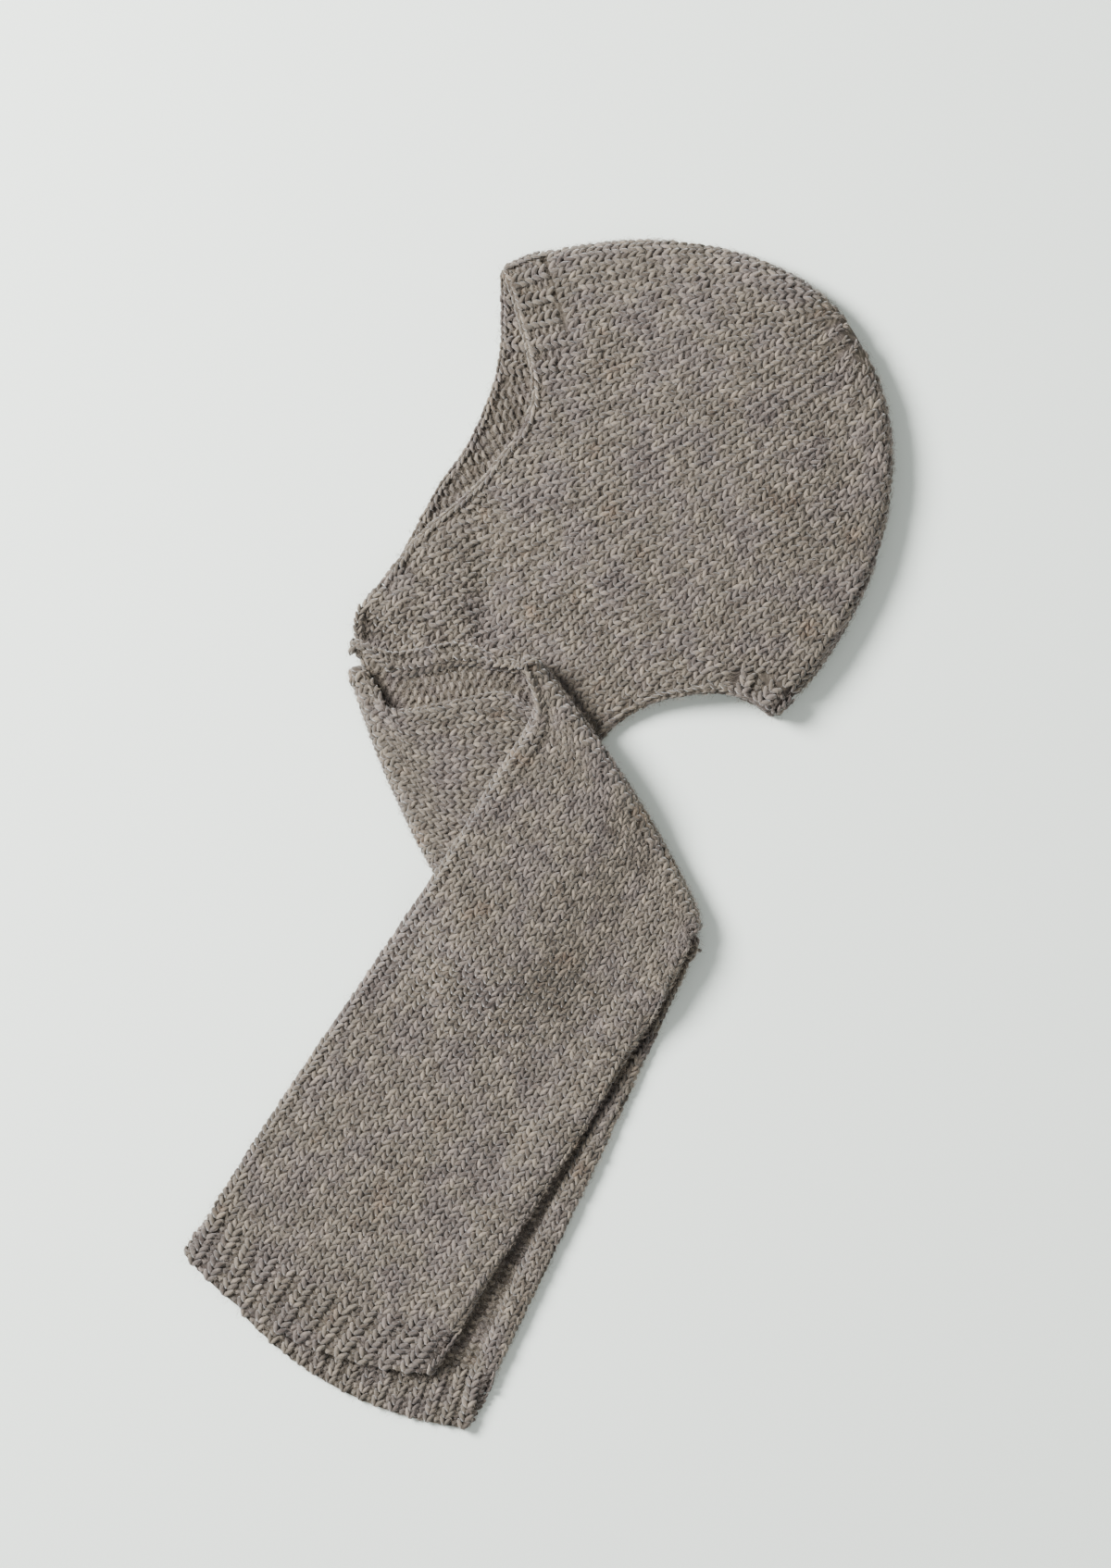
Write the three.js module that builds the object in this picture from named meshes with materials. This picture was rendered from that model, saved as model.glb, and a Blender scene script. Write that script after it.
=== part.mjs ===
import * as THREE from 'three';

// A knitted hood with two long scarf tails, lying on its side on a table.
// The hood is one bag of knit, flattened so that its left side lies on its right side.
// Both tails run down from its neck, fold over to the right, then fold back down to the left.
// Millimetres, +Z up, +Y from the hems towards the crown. The origin is under the middle.

// Knit
const KNIT_WALL = 3.2;
const LAYER_GAP = 0.9; // clear height between two layers that lie on each other
const JOIN_GAP = 0.3; // clear width where two pieces meet edge to edge
const ROLL_WIDTH = 12; // a selvedge that has curled up on itself
const ROLL_HEIGHT = 6.6;

// Hood
const HOOD_WIDTH = 191; // forehead corner to the back of the head
const HOOD_HEIGHT = 233; // nape corner to the top of the head
const HOOD_AIR = 10.4; // clear height inside the lying hood
const HOOD_PUFF = 3; // how much the upper side domes above its rim
const PUFF_REACH = 55;
const NECK_CLEAR = 2; // flat neck that shows beyond the folded tails
const NECK_RISE = 58; // the length over which the neck opens to the hood's full height
const FOREHEAD_RIB = 19;
const NAPE_RIB = 13;
const RIB_PITCH = 10.8;
const RIB_RELIEF = 0.9;

// Tails
const TAIL_WIDTH = 132;
const TAIL_LENGTH = 450; // neck line to hem, as each tail lies
const HEM_LENGTH = 27;
const DRAPE_REACH = 48; // the length over which a tail comes down from the stack
const DRAPE_EASE = 10; // how much further the top layer takes to come down
const NECK_LEDGE = 11; // flat width beyond the neck's edge before a tail comes down there
const LIFT_REACH = 16; // how far a curled edge lifts the knit beside it
const NECK_SWELL = 5; // the soft rise of the neck in front of the first fold
const SWELL_ACROSS = 0.1; // where it is highest, as a share of the neck line
const SWELL_REACH = 40;
const POCKET_SWELL = 4; // how far the first fold stands open at its front edge
const POCKET_REACH = 30;

// The folded edge of the lying hood, from the forehead corner over the crown to the nape corner.
// x is a share of HOOD_WIDTH and y of HOOD_HEIGHT, from the hood's lower left corner.
const CROWN_OUTLINE = [
  { x: 0.0, y: 0.94 },
  { x: 0.073, y: 0.965 },
  { x: 0.186, y: 0.986 },
  { x: 0.374, y: 1.0 },
  { x: 0.527, y: 0.988 },
  { x: 0.668, y: 0.957 },
  { x: 0.788, y: 0.905 },
  { x: 0.88, y: 0.838 },
  { x: 0.948, y: 0.741 },
  { x: 0.991, y: 0.629 },
  { x: 1.0, y: 0.513 },
  { x: 0.984, y: 0.41 },
  { x: 0.948, y: 0.304 },
  { x: 0.885, y: 0.193 },
  { x: 0.798, y: 0.085 },
  { x: 0.699, y: 0.0 },
];
const CROWN_POLE = 0.47; // where the decreases meet, as a share of the outline's length

// The face opening's edge, from the forehead corner down to the front of the neck line.
const LEFT_FACE_EDGE = [
  { x: 0.0, y: 0.94 },
  { x: 0.03, y: 0.884 },
  { x: 0.051, y: 0.822 },
  { x: 0.075, y: 0.741 },
  { x: 0.085, y: 0.667 },
  { x: 0.059, y: 0.605 },
  { x: 0.009, y: 0.551 },
  { x: -0.059, y: 0.485 },
  { x: -0.144, y: 0.426 },
  { x: -0.219, y: 0.371 },
  { x: -0.301, y: 0.284 },
];
const RIGHT_FACE_EDGE = [
  { x: 0.0, y: 0.94 },
  { x: 0.003, y: 0.899 },
  { x: 0.005, y: 0.832 },
  { x: 0.002, y: 0.764 },
  { x: -0.016, y: 0.696 },
  { x: -0.052, y: 0.619 },
  { x: -0.096, y: 0.551 },
  { x: -0.151, y: 0.489 },
  { x: -0.198, y: 0.42 },
  { x: -0.247, y: 0.345 },
  { x: -0.292, y: 0.273 },
];

// The neck's lower edge, from the back of the neck line to the nape corner.
const NECK_EDGE = [
  { x: 0.268, y: -0.029 },
  { x: 0.374, y: 0.019 },
  { x: 0.468, y: 0.035 },
  { x: 0.56, y: 0.04 },
  { x: 0.638, y: 0.028 },
  { x: 0.699, y: 0.0 },
];

// A rib's width along its edge, from the corner: at is a share of the edge, width a share of the rib.
const FOREHEAD_TAPER = [
  { at: 0.0, width: 1.0 },
  { at: 0.2, width: 0.98 },
  { at: 0.27, width: 0.8 },
  { at: 0.33, width: 0.12 },
];
const NAPE_TAPER = [
  { at: 0.0, width: 1.0 },
  { at: 0.14, width: 1.0 },
  { at: 0.2, width: 0.7 },
  { at: 0.25, width: 0.15 },
];
const EDGE_PINCH = 0.5; // the share of its thickness that a rib keeps at its free edge

// How much of the knit between the pole and the brim goes to each part of the brim
const BRIM_SHARES = { face: 0.34, neckLine: 0.38, nape: 0.28 };

// Each tail's lines across, from the neck line to the hem. step is a share of TAIL_LENGTH, from
// the line before along the front edge, and heading is its direction. The line across leaves that
// point in the direction across, and its length is span, a share of TAIL_WIDTH. rollFront and
// rollBack say how far each edge has curled, and bow how far the line bends towards the hem.
const LEFT_NECK = [
  { step: 0.0, heading: -135, across: -44.3, span: 1.015, rollFront: 0.3, rollBack: 0.0, bow: 0.0 },
  { step: 0.065, heading: -116.6, across: -61.9, span: 1.094, rollFront: 0.3, rollBack: 0.0, bow: 0.0 },
];
const LEFT_CROSSING = [
  { step: 0.04, heading: -25.3, across: -62.4, span: 1.05, rollFront: 1.0, rollBack: 0.0, bow: 0.0 },
  { step: 0.086, heading: 7.4, across: -62.5, span: 1.107, rollFront: 1.0, rollBack: 0.0, bow: 0.0 },
  { step: 0.069, heading: -9.2, across: -57.1, span: 1.137, rollFront: 0.8, rollBack: 0.0, bow: 0.0 },
];
const LEFT_FALL = [
  { step: 0.059, heading: -86.1, across: -55.4, span: 1.052, rollFront: 0.8, rollBack: 0.2, bow: 0.0 },
  { step: 0.09, heading: -119.1, across: -48.3, span: 1.0, rollFront: 0.8, rollBack: 0.4, bow: 0.0 },
  { step: 0.113, heading: -121.6, across: -40.4, span: 0.967, rollFront: 0.8, rollBack: 0.7, bow: 0.02 },
  { step: 0.149, heading: -124.3, across: -34.1, span: 0.98, rollFront: 0.8, rollBack: 1.0, bow: 0.05 },
  { step: 0.157, heading: -124.1, across: -29.3, span: 0.997, rollFront: 0.8, rollBack: 1.0, bow: 0.08 },
  { step: 0.131, heading: -122.8, across: -26.0, span: 1.013, rollFront: 0.6, rollBack: 0.7, bow: 0.11 },
];
const RIGHT_NECK = [
  { step: 0.0, heading: -135, across: -44.2, span: 1.008, rollFront: 0.0, rollBack: 0.0, bow: 0.0 },
  { step: 0.119, heading: -107.1, across: -63.6, span: 1.058, rollFront: 0.3, rollBack: 0.0, bow: 0.0 },
];
const RIGHT_CROSSING = [
  { step: 0.041, heading: -21.5, across: -62.0, span: 1.031, rollFront: 0.6, rollBack: 0.0, bow: 0.0 },
  { step: 0.08, heading: 6.4, across: -60.8, span: 1.082, rollFront: 0.6, rollBack: 0.0, bow: 0.0 },
  { step: 0.046, heading: 10.1, across: -60.3, span: 1.102, rollFront: 0.5, rollBack: 0.0, bow: 0.0 },
  { step: 0.065, heading: -27.3, across: -57.3, span: 0.997, rollFront: 0.0, rollBack: 0.0, bow: 0.0 },
];
const RIGHT_FALL = [
  { step: 0.039, heading: -88.5, across: -57.6, span: 0.929, rollFront: 0.0, rollBack: 0.0, bow: 0.0 },
  { step: 0.063, heading: -128.0, across: -55.3, span: 0.941, rollFront: 0.0, rollBack: 0.1, bow: 0.0 },
  { step: 0.099, heading: -120.5, across: -45.5, span: 0.899, rollFront: 0.0, rollBack: 0.35, bow: 0.02 },
  { step: 0.171, heading: -121.8, across: -33.9, span: 0.924, rollFront: 0.0, rollBack: 0.85, bow: 0.05 },
  { step: 0.161, heading: -119.7, across: -27.9, span: 0.953, rollFront: 0.0, rollBack: 1.0, bow: 0.07 },
  { step: 0.138, heading: -115.8, across: -27.2, span: 0.955, rollFront: 0.0, rollBack: 0.9, bow: 0.09 },
];

const HEM_UNCURL = 0.5; // the share of their curl that the edges lose down the hem

// How finely the pieces are divided
const OUTLINE_STEPS = 96;
const EDGE_STEPS = 60;
const GUIDE_STEPS = 24;
const CROWN_ROWS = [0.06, 0.15, 0.26, 0.38, 0.5, 0.62, 0.73, 0.83, 0.91, 0.97, 1.0];
const CROWN_COLUMNS = { rim: 4, rib: 6, face: 7, neckLine: 7, neck: 5 };
const TAIL_COLUMNS = 7;
const CURL_STEPS = 4; // round a curled edge
const NECK_ROWS = [0, 0.35, 0.7];
const CROSSING_SPACING = 0.5;
const FALL_ROWS = [
  0.6, 1, 1.3, 1.6, 1.85, 2.1, 2.3, 2.5, 2.7, 2.9, 3.1, 3.3, 3.5, 3.7, 3.9, 4.2, 4.6, 5, 5.5, 6,
];
const HEM_COLUMNS = 44;
const HEM_ROWS = 2;
const BEND_STEPS = 6;
const RIB_ROWS = 3;
const RIB_FINENESS = 4; // columns to each rib

const UP = new THREE.Vector3(0, 0, 1);
const PITCH = KNIT_WALL + LAYER_GAP;
const HALF_WALL = KNIT_WALL / 2;
const RIM = (HOOD_AIR + KNIT_WALL) / 2; // radius of the hood's folded edge, mid wall
const { lerp, smoothstep, degToRad } = THREE.MathUtils;

const flat = (x, y) => new THREE.Vector3(x, y, 0);
const heading = (degrees) => flat(Math.cos(degToRad(degrees)), Math.sin(degToRad(degrees)));
const rightOf = (d) => flat(d.y, -d.x);
const hoodPoint = (row) => flat(row.x * HOOD_WIDTH, row.y * HOOD_HEIGHT);
const fade = (distance, reach) => 1 - smoothstep(distance, 0, reach);

// Evenly spaced points on a smooth curve through the given points
function smoothLine(points, steps) {
  return new THREE.CatmullRomCurve3(points, false, 'centripetal').getSpacedPoints(steps);
}

// A polyline that can be read at any distance along it
class Path {
  constructor(points) {
    this.points = points;
    this.lengths = [0];
    for (let i = 1; i < points.length; i++) {
      this.lengths.push(this.lengths[i - 1] + points[i].distanceTo(points[i - 1]));
    }
    this.length = this.lengths.at(-1);
  }

  at(distance) {
    const along = THREE.MathUtils.clamp(distance, 0, this.length);
    let i = this.lengths.findIndex((length) => length >= along);
    i = Math.max(i, 1);
    const share = (along - this.lengths[i - 1]) / (this.lengths[i] - this.lengths[i - 1]);
    return this.points[i - 1].clone().lerp(this.points[i], share);
  }

  direction(distance) {
    const half = this.length / this.points.length / 2;
    return this.at(distance + half).sub(this.at(distance - half)).normalize();
  }
}

// Reads a short table at any share of its first column
function tableValue(rows, at, key) {
  const next = rows.findIndex((row) => row.at >= at);
  if (next < 0) return rows.at(-1)[key];
  if (next === 0) return rows[0][key];
  const [before, after] = [rows[next - 1], rows[next]];
  return lerp(before[key], after[key], (at - before.at) / (after.at - before.at));
}

// Hood outline at mid wall, running clockwise, so that the hood lies on its right
function makeOutline() {
  const outer = new Path(smoothLine(CROWN_OUTLINE.map(hoodPoint), OUTLINE_STEPS));
  const inset = outer.points.map((point, i) => {
    const inward = rightOf(outer.direction(outer.lengths[i]));
    return point.clone().addScaledVector(inward, HALF_WALL);
  });
  return new Path(inset);
}
const outline = makeOutline();

// Distance from a point to the outline, and the direction out towards it
function rimAt(point) {
  let best = { distance: Infinity, outward: null };
  for (let i = 1; i < outline.points.length; i++) {
    const a = outline.points[i - 1];
    const side = outline.points[i].clone().sub(a);
    const along = THREE.MathUtils.clamp(point.clone().sub(a).dot(side) / side.lengthSq(), 0, 1);
    const away = a.clone().addScaledVector(side, along).sub(point);
    away.z = 0;
    const distance = away.length();
    if (distance < best.distance) {
      const outward = distance > 0.05 ? away.divideScalar(distance) : rightOf(side).negate().normalize();
      best = { distance, outward };
    }
  }
  return best;
}

// The neck line, where the tails begin, and the lines across both tails
const neckFront = hoodPoint(LEFT_FACE_EDGE.at(-1));
const rightNeckFront = hoodPoint(RIGHT_FACE_EDGE.at(-1));

// Turns a table's rows into lines across, starting from a point of the front edge
function linesAcross(rows, start) {
  let front = start.clone();
  return rows.map((row) => {
    front = front.clone().addScaledVector(heading(row.heading), row.step * TAIL_LENGTH);
    const back = front.clone().addScaledVector(heading(row.across), row.span * TAIL_WIDTH);
    return { ...row, front, back, course: heading(row.heading) };
  });
}

// A tail's three runs. Each run starts on the fold line that ends the one before.
function tailRuns({ neck, crossing, fall }, start) {
  const neckLines = linesAcross(neck, start);
  const crossingLines = linesAcross(crossing, neckLines.at(-1).front);
  const fallLines = linesAcross(fall, crossingLines.at(-1).front);
  return {
    neck: neckLines,
    crossing: [neckLines.at(-1), ...crossingLines],
    fall: [crossingLines.at(-1), ...fallLines],
  };
}
const leftRuns = tailRuns({ neck: LEFT_NECK, crossing: LEFT_CROSSING, fall: LEFT_FALL }, neckFront);
const rightRuns = tailRuns({ neck: RIGHT_NECK, crossing: RIGHT_CROSSING, fall: RIGHT_FALL }, rightNeckFront);

// How far a point lies beyond the line from a to b, on its left
function beyond(a, b, point) {
  const left = rightOf(b.clone().sub(a).normalize()).negate();
  return point.clone().sub(a).dot(left);
}

// Heights. Each layer lies at its level in the stack, and comes down where those under it end.
const neckAcross = leftRuns.neck[0].back.clone().sub(leftRuns.neck[0].front).normalize();
const towardsCrown = rightOf(neckAcross).negate();
const foldReach = leftRuns.fall[0].front.clone().sub(neckFront).dot(towardsCrown);
const neckFlat = foldReach + NECK_CLEAR;
const swellCentre = neckFront.clone().addScaledVector(neckAcross, SWELL_ACROSS * TAIL_WIDTH);
const pocketCentre = leftRuns.crossing[0].front;
const stackBack = rightRuns.crossing[0].back;

const neckSwell = (point) => NECK_SWELL * fade(point.distanceTo(swellCentre), SWELL_REACH);
const pocketSwell = (point) => POCKET_SWELL * fade(point.distanceTo(pocketCentre), POCKET_REACH);
const pastNeck = (point) =>
  smoothstep(beyond(leftRuns.neck[0].back, stackBack, point), NECK_LEDGE, NECK_LEDGE + DRAPE_REACH);

function pastStack(point, reach) {
  const pastFold = beyond(stackBack, rightRuns.crossing[0].front, point);
  const pastBack = beyond(rightRuns.fall[0].back, stackBack, point);
  return 1 - fade(Math.max(pastFold, 0), reach) * fade(Math.max(pastBack, 0), reach);
}

// Mid-wall height of a layer of a tail's run at a place on the table
const layerHeight = {
  neck: (level, point) => HALF_WALL + level * PITCH + (level > 0 ? neckSwell(point) : 0),
  crossing: (level, point) =>
    HALF_WALL + (level - 2 * pastNeck(point)) * PITCH + neckSwell(point) + pocketSwell(point),
  fall: (level, point) => {
    const past = pastStack(point, DRAPE_REACH + (level > 4 ? DRAPE_EASE : 0));
    const drop = 4 * past + 2 * pastNeck(point) * (1 - past);
    return HALF_WALL + (level - drop) * PITCH + (neckSwell(point) + pocketSwell(point)) * (1 - past);
  },
};

// The hood's wall at a place: side is 1 on the upper side and -1 on the lower side
function hoodWall(point, side) {
  const rise = point.clone().sub(neckFront).dot(towardsCrown);
  const opened = smoothstep(rise, neckFlat, neckFlat + NECK_RISE);
  const half = lerp(PITCH / 2, RIM, opened);
  const rim = rimAt(point);
  const cosine = Math.max(1 - rim.distance / half, 0);
  const sine = Math.sqrt(1 - cosine * cosine);
  const dome = HOOD_PUFF * opened * smoothstep(rim.distance, 0, PUFF_REACH) + neckSwell(point);
  const centre = flat(point.x, point.y);
  centre.z = HALF_WALL + half + side * half * sine + (side > 0 ? dome : 0);
  const out = rim.outward.clone().multiplyScalar(cosine).addScaledVector(UP, side * sine);
  return { centre, out };
}

// Gathers triangles, with the vertices at one place shared
class Skin {
  constructor() {
    this.keys = new Map();
    this.positions = [];
    this.triangles = [];
  }

  vertex(point) {
    const key = `${point.x.toFixed(3)},${point.y.toFixed(3)},${point.z.toFixed(3)}`;
    if (!this.keys.has(key)) {
      this.keys.set(key, this.positions.length / 3);
      this.positions.push(point.x, point.y, point.z);
    }
    return this.keys.get(key);
  }

  triangle(a, b, c) {
    const [i, j, k] = [this.vertex(a), this.vertex(b), this.vertex(c)];
    if (i !== j && j !== k && k !== i) this.triangles.push(i, j, k);
  }

  quad(a, b, c, d) {
    this.triangle(a, b, c);
    this.triangle(a, c, d);
  }

  // A grid of points, each row joined to the next
  grid(rows, reversed = false) {
    for (let i = 1; i < rows.length; i++) {
      for (let j = 1; j < rows[i].length; j++) {
        const corners = [rows[i - 1][j - 1], rows[i - 1][j], rows[i][j], rows[i][j - 1]];
        this.quad(...(reversed ? corners.reverse() : corners));
      }
    }
  }

  // A wall of knit between two grids, closed along its free edges
  slab(upper, lower) {
    this.grid(upper);
    this.grid(lower, true);
    this.grid([lower[0], upper[0]]);
    this.grid([upper.at(-1), lower.at(-1)]);
    const first = (rows) => rows.map((row) => row[0]);
    const last = (rows) => rows.map((row) => row.at(-1));
    this.grid([first(upper), first(lower)]);
    this.grid([last(lower), last(upper)]);
  }

  signedVolume() {
    const corner = (i) => new THREE.Vector3().fromArray(this.positions, 3 * i);
    let sum = 0;
    for (let i = 0; i < this.triangles.length; i += 3) {
      const [a, b, c] = this.triangles.slice(i, i + 3).map(corner);
      sum += a.dot(b.cross(c));
    }
    return sum;
  }

  mesh(name, material) {
    if (this.signedVolume() < 0) this.triangles.reverse();
    const geometry = new THREE.BufferGeometry();
    geometry.setAttribute('position', new THREE.Float32BufferAttribute(this.positions, 3));
    geometry.setIndex(this.triangles);
    geometry.computeVertexNormals();
    const mesh = new THREE.Mesh(geometry, material);
    mesh.name = name;
    return mesh;
  }
}

// One side's brim parts. side is 1 on the upper, left side of the hood and -1 on the lower.
function brimParts(side) {
  const faceTable = side > 0 ? LEFT_FACE_EDGE : RIGHT_FACE_EDGE;
  const neckLine = (side > 0 ? leftRuns : rightRuns).neck[0];
  const fromNape = NECK_EDGE.map(hoodPoint).reverse();
  return {
    face: new Path(smoothLine(faceTable.map(hoodPoint), EDGE_STEPS)),
    nape: new Path(smoothLine([...fromNape, neckLine.back], EDGE_STEPS)),
    neckFront: neckLine.front,
    neckBack: neckLine.back,
  };
}
const brims = { 1: brimParts(1), [-1]: brimParts(-1) };

// Where a rib's inner line runs: short straight pieces, which the crown's brim shares
function ribLines(edge, taper, width, fromStart) {
  const inwardSign = fromStart ? -1 : 1;
  const reach = taper.at(-1).at * edge.length;
  const stops = rimStops();
  for (let i = 0; i <= CROWN_COLUMNS.rib; i++) {
    stops.push(lerp(RIM, reach, i / CROWN_COLUMNS.rib));
  }
  const place = (stop, deep) => {
    const inwardAt = (distance) => rightOf(edge.direction(distance)).multiplyScalar(inwardSign);
    const corner = edge.at(0).addScaledVector(inwardAt(0), deep);
    const onRim = outline.at(fromStart ? deep : outline.length - deep);
    return edge
      .at(stop)
      .addScaledVector(inwardAt(stop), deep)
      .addScaledVector(onRim.sub(corner), fade(stop, width));
  };
  const depths = stops.map((stop) => width * tableValue(taper, stop / edge.length, 'width'));
  return {
    stops,
    outer: stops.map((stop) => place(stop, 0)),
    inner: stops.map((stop, i) => place(stop, depths[i])),
    clear: stops.map((stop, i) => place(stop, depths[i] + JOIN_GAP)),
  };
}

// The first stops along an edge that leaves the rim, close enough to follow the rim's bend
function rimStops(radius = RIM) {
  return Array.from({ length: CROWN_COLUMNS.rim }, (_, i) => {
    const turn = (i / CROWN_COLUMNS.rim) * (Math.PI / 2);
    return radius * (1 - Math.cos(turn));
  });
}

// Stops all along a line that leaves the rim: a stretch beside a rib, then the rest of the line
function stopsAlong(length, ribShare, columns) {
  const ribEnd = ribShare * length;
  const rim = Math.min(RIM, ribEnd / 2);
  const stops = rimStops(rim);
  for (let i = 0; i < CROWN_COLUMNS.rib; i++) {
    stops.push(lerp(rim, ribEnd, i / CROWN_COLUMNS.rib));
  }
  for (let i = 0; i <= columns; i++) stops.push(lerp(ribEnd, length, i / columns));
  return stops;
}

const ribs = {
  forehead: (side) => ribLines(brims[side].face, FOREHEAD_TAPER, FOREHEAD_RIB, true),
  nape: (side) => ribLines(brims[side].nape, NAPE_TAPER, NAPE_RIB, false),
};

// The crown's own brim on one side, as points from the forehead round to the nape
function crownBrim(side) {
  const { face, nape, neckFront: front, neckBack: back } = brims[side];
  const off = towardsCrown.clone().multiplyScalar(JOIN_GAP / 2);
  const free = (edge, rib, columns) => {
    const start = rib.stops.at(-1);
    const steps = Array.from({ length: columns - 1 }, (_, i) => (i + 1) / columns);
    return steps.map((share) => edge.at(lerp(start, edge.length, share)));
  };
  const forehead = ribs.forehead(side);
  const napeRib = ribs.nape(side);
  const neckLine = [front, back].map((point) => point.clone().add(off));
  const across = Array.from({ length: CROWN_COLUMNS.neckLine + 1 }, (_, i) =>
    neckLine[0].clone().lerp(neckLine[1], i / CROWN_COLUMNS.neckLine),
  );
  return {
    face: [...forehead.clear, ...free(face, forehead, CROWN_COLUMNS.face), neckLine[0]],
    neckLine: across,
    nape: [neckLine[1], ...free(nape, napeRib, CROWN_COLUMNS.neck).reverse(), ...napeRib.clear.reverse()],
  };
}

// One row of the crown on one side. row runs from 0 at the pole to 1 at the brim. The ends of the
// row are on the outline, and between them it keeps the brim's own shape, scaled by row.
function crownRow(side, row, pole) {
  const brim = crownBrim(side);
  if (row === 1) return [...brim.face, ...brim.neckLine.slice(1), ...brim.nape.slice(1)];
  const [brimStart, brimEnd] = [brim.face[0], brim.nape.at(-1)];
  const startGap = brimStart.distanceTo(outline.at(0));
  const endGap = brimEnd.distanceTo(outline.at(outline.length));
  const top = outline.at(lerp(pole, startGap, row));
  const back = outline.at(lerp(pole, outline.length - endGap, row));
  const guide = (part, from) => {
    const edge = new Path(brim[part]);
    const points = Array.from({ length: GUIDE_STEPS + 1 }, (_, i) => {
      const along = i / GUIDE_STEPS;
      const share = from + along * BRIM_SHARES[part];
      const pull = edge.at(along * edge.length).sub(brimStart.clone().lerp(brimEnd, share));
      return top.clone().lerp(back, share).addScaledVector(pull, row);
    });
    return new Path(points);
  };
  const ribShare = (points) => {
    const besideRib = points.slice(0, CROWN_COLUMNS.rim + CROWN_COLUMNS.rib + 1);
    return new Path(besideRib).length / new Path(points).length;
  };
  const face = guide('face', 0);
  const neckLine = guide('neckLine', BRIM_SHARES.face);
  const nape = guide('nape', BRIM_SHARES.face + BRIM_SHARES.neckLine);
  const fromNape = [...brim.nape].reverse();
  const faceStops = stopsAlong(face.length, ribShare(brim.face), CROWN_COLUMNS.face);
  const napeStops = stopsAlong(nape.length, ribShare(fromNape), CROWN_COLUMNS.neck);
  const across = Array.from({ length: CROWN_COLUMNS.neckLine }, (_, i) => (i + 1) / CROWN_COLUMNS.neckLine);
  return [
    ...faceStops.map((stop) => face.at(stop)),
    ...across.map((share) => neckLine.at(share * neckLine.length)),
    ...napeStops.slice(0, -1).reverse().map((stop) => nape.at(nape.length - stop)),
  ];
}

// The crown: rows run from the crown's pole to the brim, round the upper side and back under it
function makeCrown() {
  const pole = outline.length * CROWN_POLE;
  const outer = [];
  const inner = [];
  for (const row of CROWN_ROWS) {
    const upper = crownRow(1, row, pole).map((point) => hoodWall(point, 1));
    const lower = crownRow(-1, row, pole).map((point) => hoodWall(point, -1)).reverse();
    const round = [...upper.slice(0, -1), ...lower.slice(0, -1), upper[0]];
    outer.push(round.map(({ centre, out }) => centre.clone().addScaledVector(out, HALF_WALL)));
    inner.push(round.map(({ centre, out }) => centre.clone().addScaledVector(out, -HALF_WALL)));
  }
  const tip = hoodWall(outline.at(pole), 1);
  const tipRow = (sign) => outer[0].map(() => tip.centre.clone().addScaledVector(tip.out, sign * HALF_WALL));
  outer.unshift(tipRow(1));
  inner.unshift(tipRow(-1));

  const skin = new Skin();
  skin.grid(outer);
  skin.grid(inner, true);
  skin.grid([outer.at(-1), inner.at(-1)]);
  return skin;
}

// A ribbed band round one corner of the hood, from the lower side, over the rim, to the upper side
function makeRib(linesOf) {
  const bandOf = (side) => {
    const { stops, outer, inner } = linesOf(side);
    const last = stops.length - 1;
    const columns = [];
    const perStep = Math.ceil(((stops[last] - RIM) / CROWN_COLUMNS.rib / RIB_PITCH) * RIB_FINENESS);
    for (let i = 0; i <= last; i++) {
      const next = Math.min(i + 1, last);
      const parts = i < CROWN_COLUMNS.rim || i === last ? 1 : perStep;
      for (let part = 0; part < parts; part++) {
        const between = (list) => list[i].clone().lerp(list[next], part / parts);
        const stop = lerp(stops[i], stops[next], part / parts);
        columns.push(ribColumn(stop, between(outer), between(inner), side));
      }
    }
    return columns;
  };
  const columns = [...bandOf(-1).slice(1).reverse(), ...bandOf(1)];
  const skin = new Skin();
  skin.slab(
    columns.map((rows) => rows.map((cell) => cell.upper)),
    columns.map((rows) => rows.map((cell) => cell.lower)),
  );
  return skin;
}

// One line across a rib, from its free edge inwards, raised where a rib runs
function ribColumn(stop, outer, inner, side) {
  const wave = stop < RIM ? 1 : 0.5 + 0.5 * Math.cos((2 * Math.PI * (stop - RIM)) / RIB_PITCH);
  return Array.from({ length: RIB_ROWS + 1 }, (_, i) => {
    const depth = i / RIB_ROWS;
    const { centre, out } = hoodWall(outer.clone().lerp(inner, depth), side);
    const pinch = i === 0 ? EDGE_PINCH : 1;
    const raised = i === RIB_ROWS ? 0 : RIB_RELIEF * wave * Math.min(1 + out.z, 1);
    return {
      upper: centre.clone().addScaledVector(out, (HALF_WALL + raised) * pinch),
      lower: centre.clone().addScaledVector(out, -HALF_WALL * pinch),
    };
  });
}

// A point of a line across. along is a share of its length.
function linePoint(line, along) {
  const bend = line.bow * 4 * along * (1 - along) * TAIL_WIDTH;
  return line.front.clone().lerp(line.back, along).addScaledVector(line.course, bend);
}

// Lines across, read between the rows of a run
function blendLines(lines, position) {
  const before = Math.min(Math.floor(position), lines.length - 2);
  const share = position - before;
  const curve = (key) => {
    const points = lines.map((line) => line[key]);
    return new THREE.CatmullRomCurve3(points, false, 'centripetal').getPoint(position / (lines.length - 1));
  };
  const mix = (key) => lerp(lines[before][key], lines[before + 1][key], share);
  return {
    front: curve('front'),
    back: curve('back'),
    course: lines[before].course.clone().lerp(lines[before + 1].course, share).normalize(),
    rollFront: mix('rollFront'),
    rollBack: mix('rollBack'),
    bow: mix('bow'),
  };
}

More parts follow.
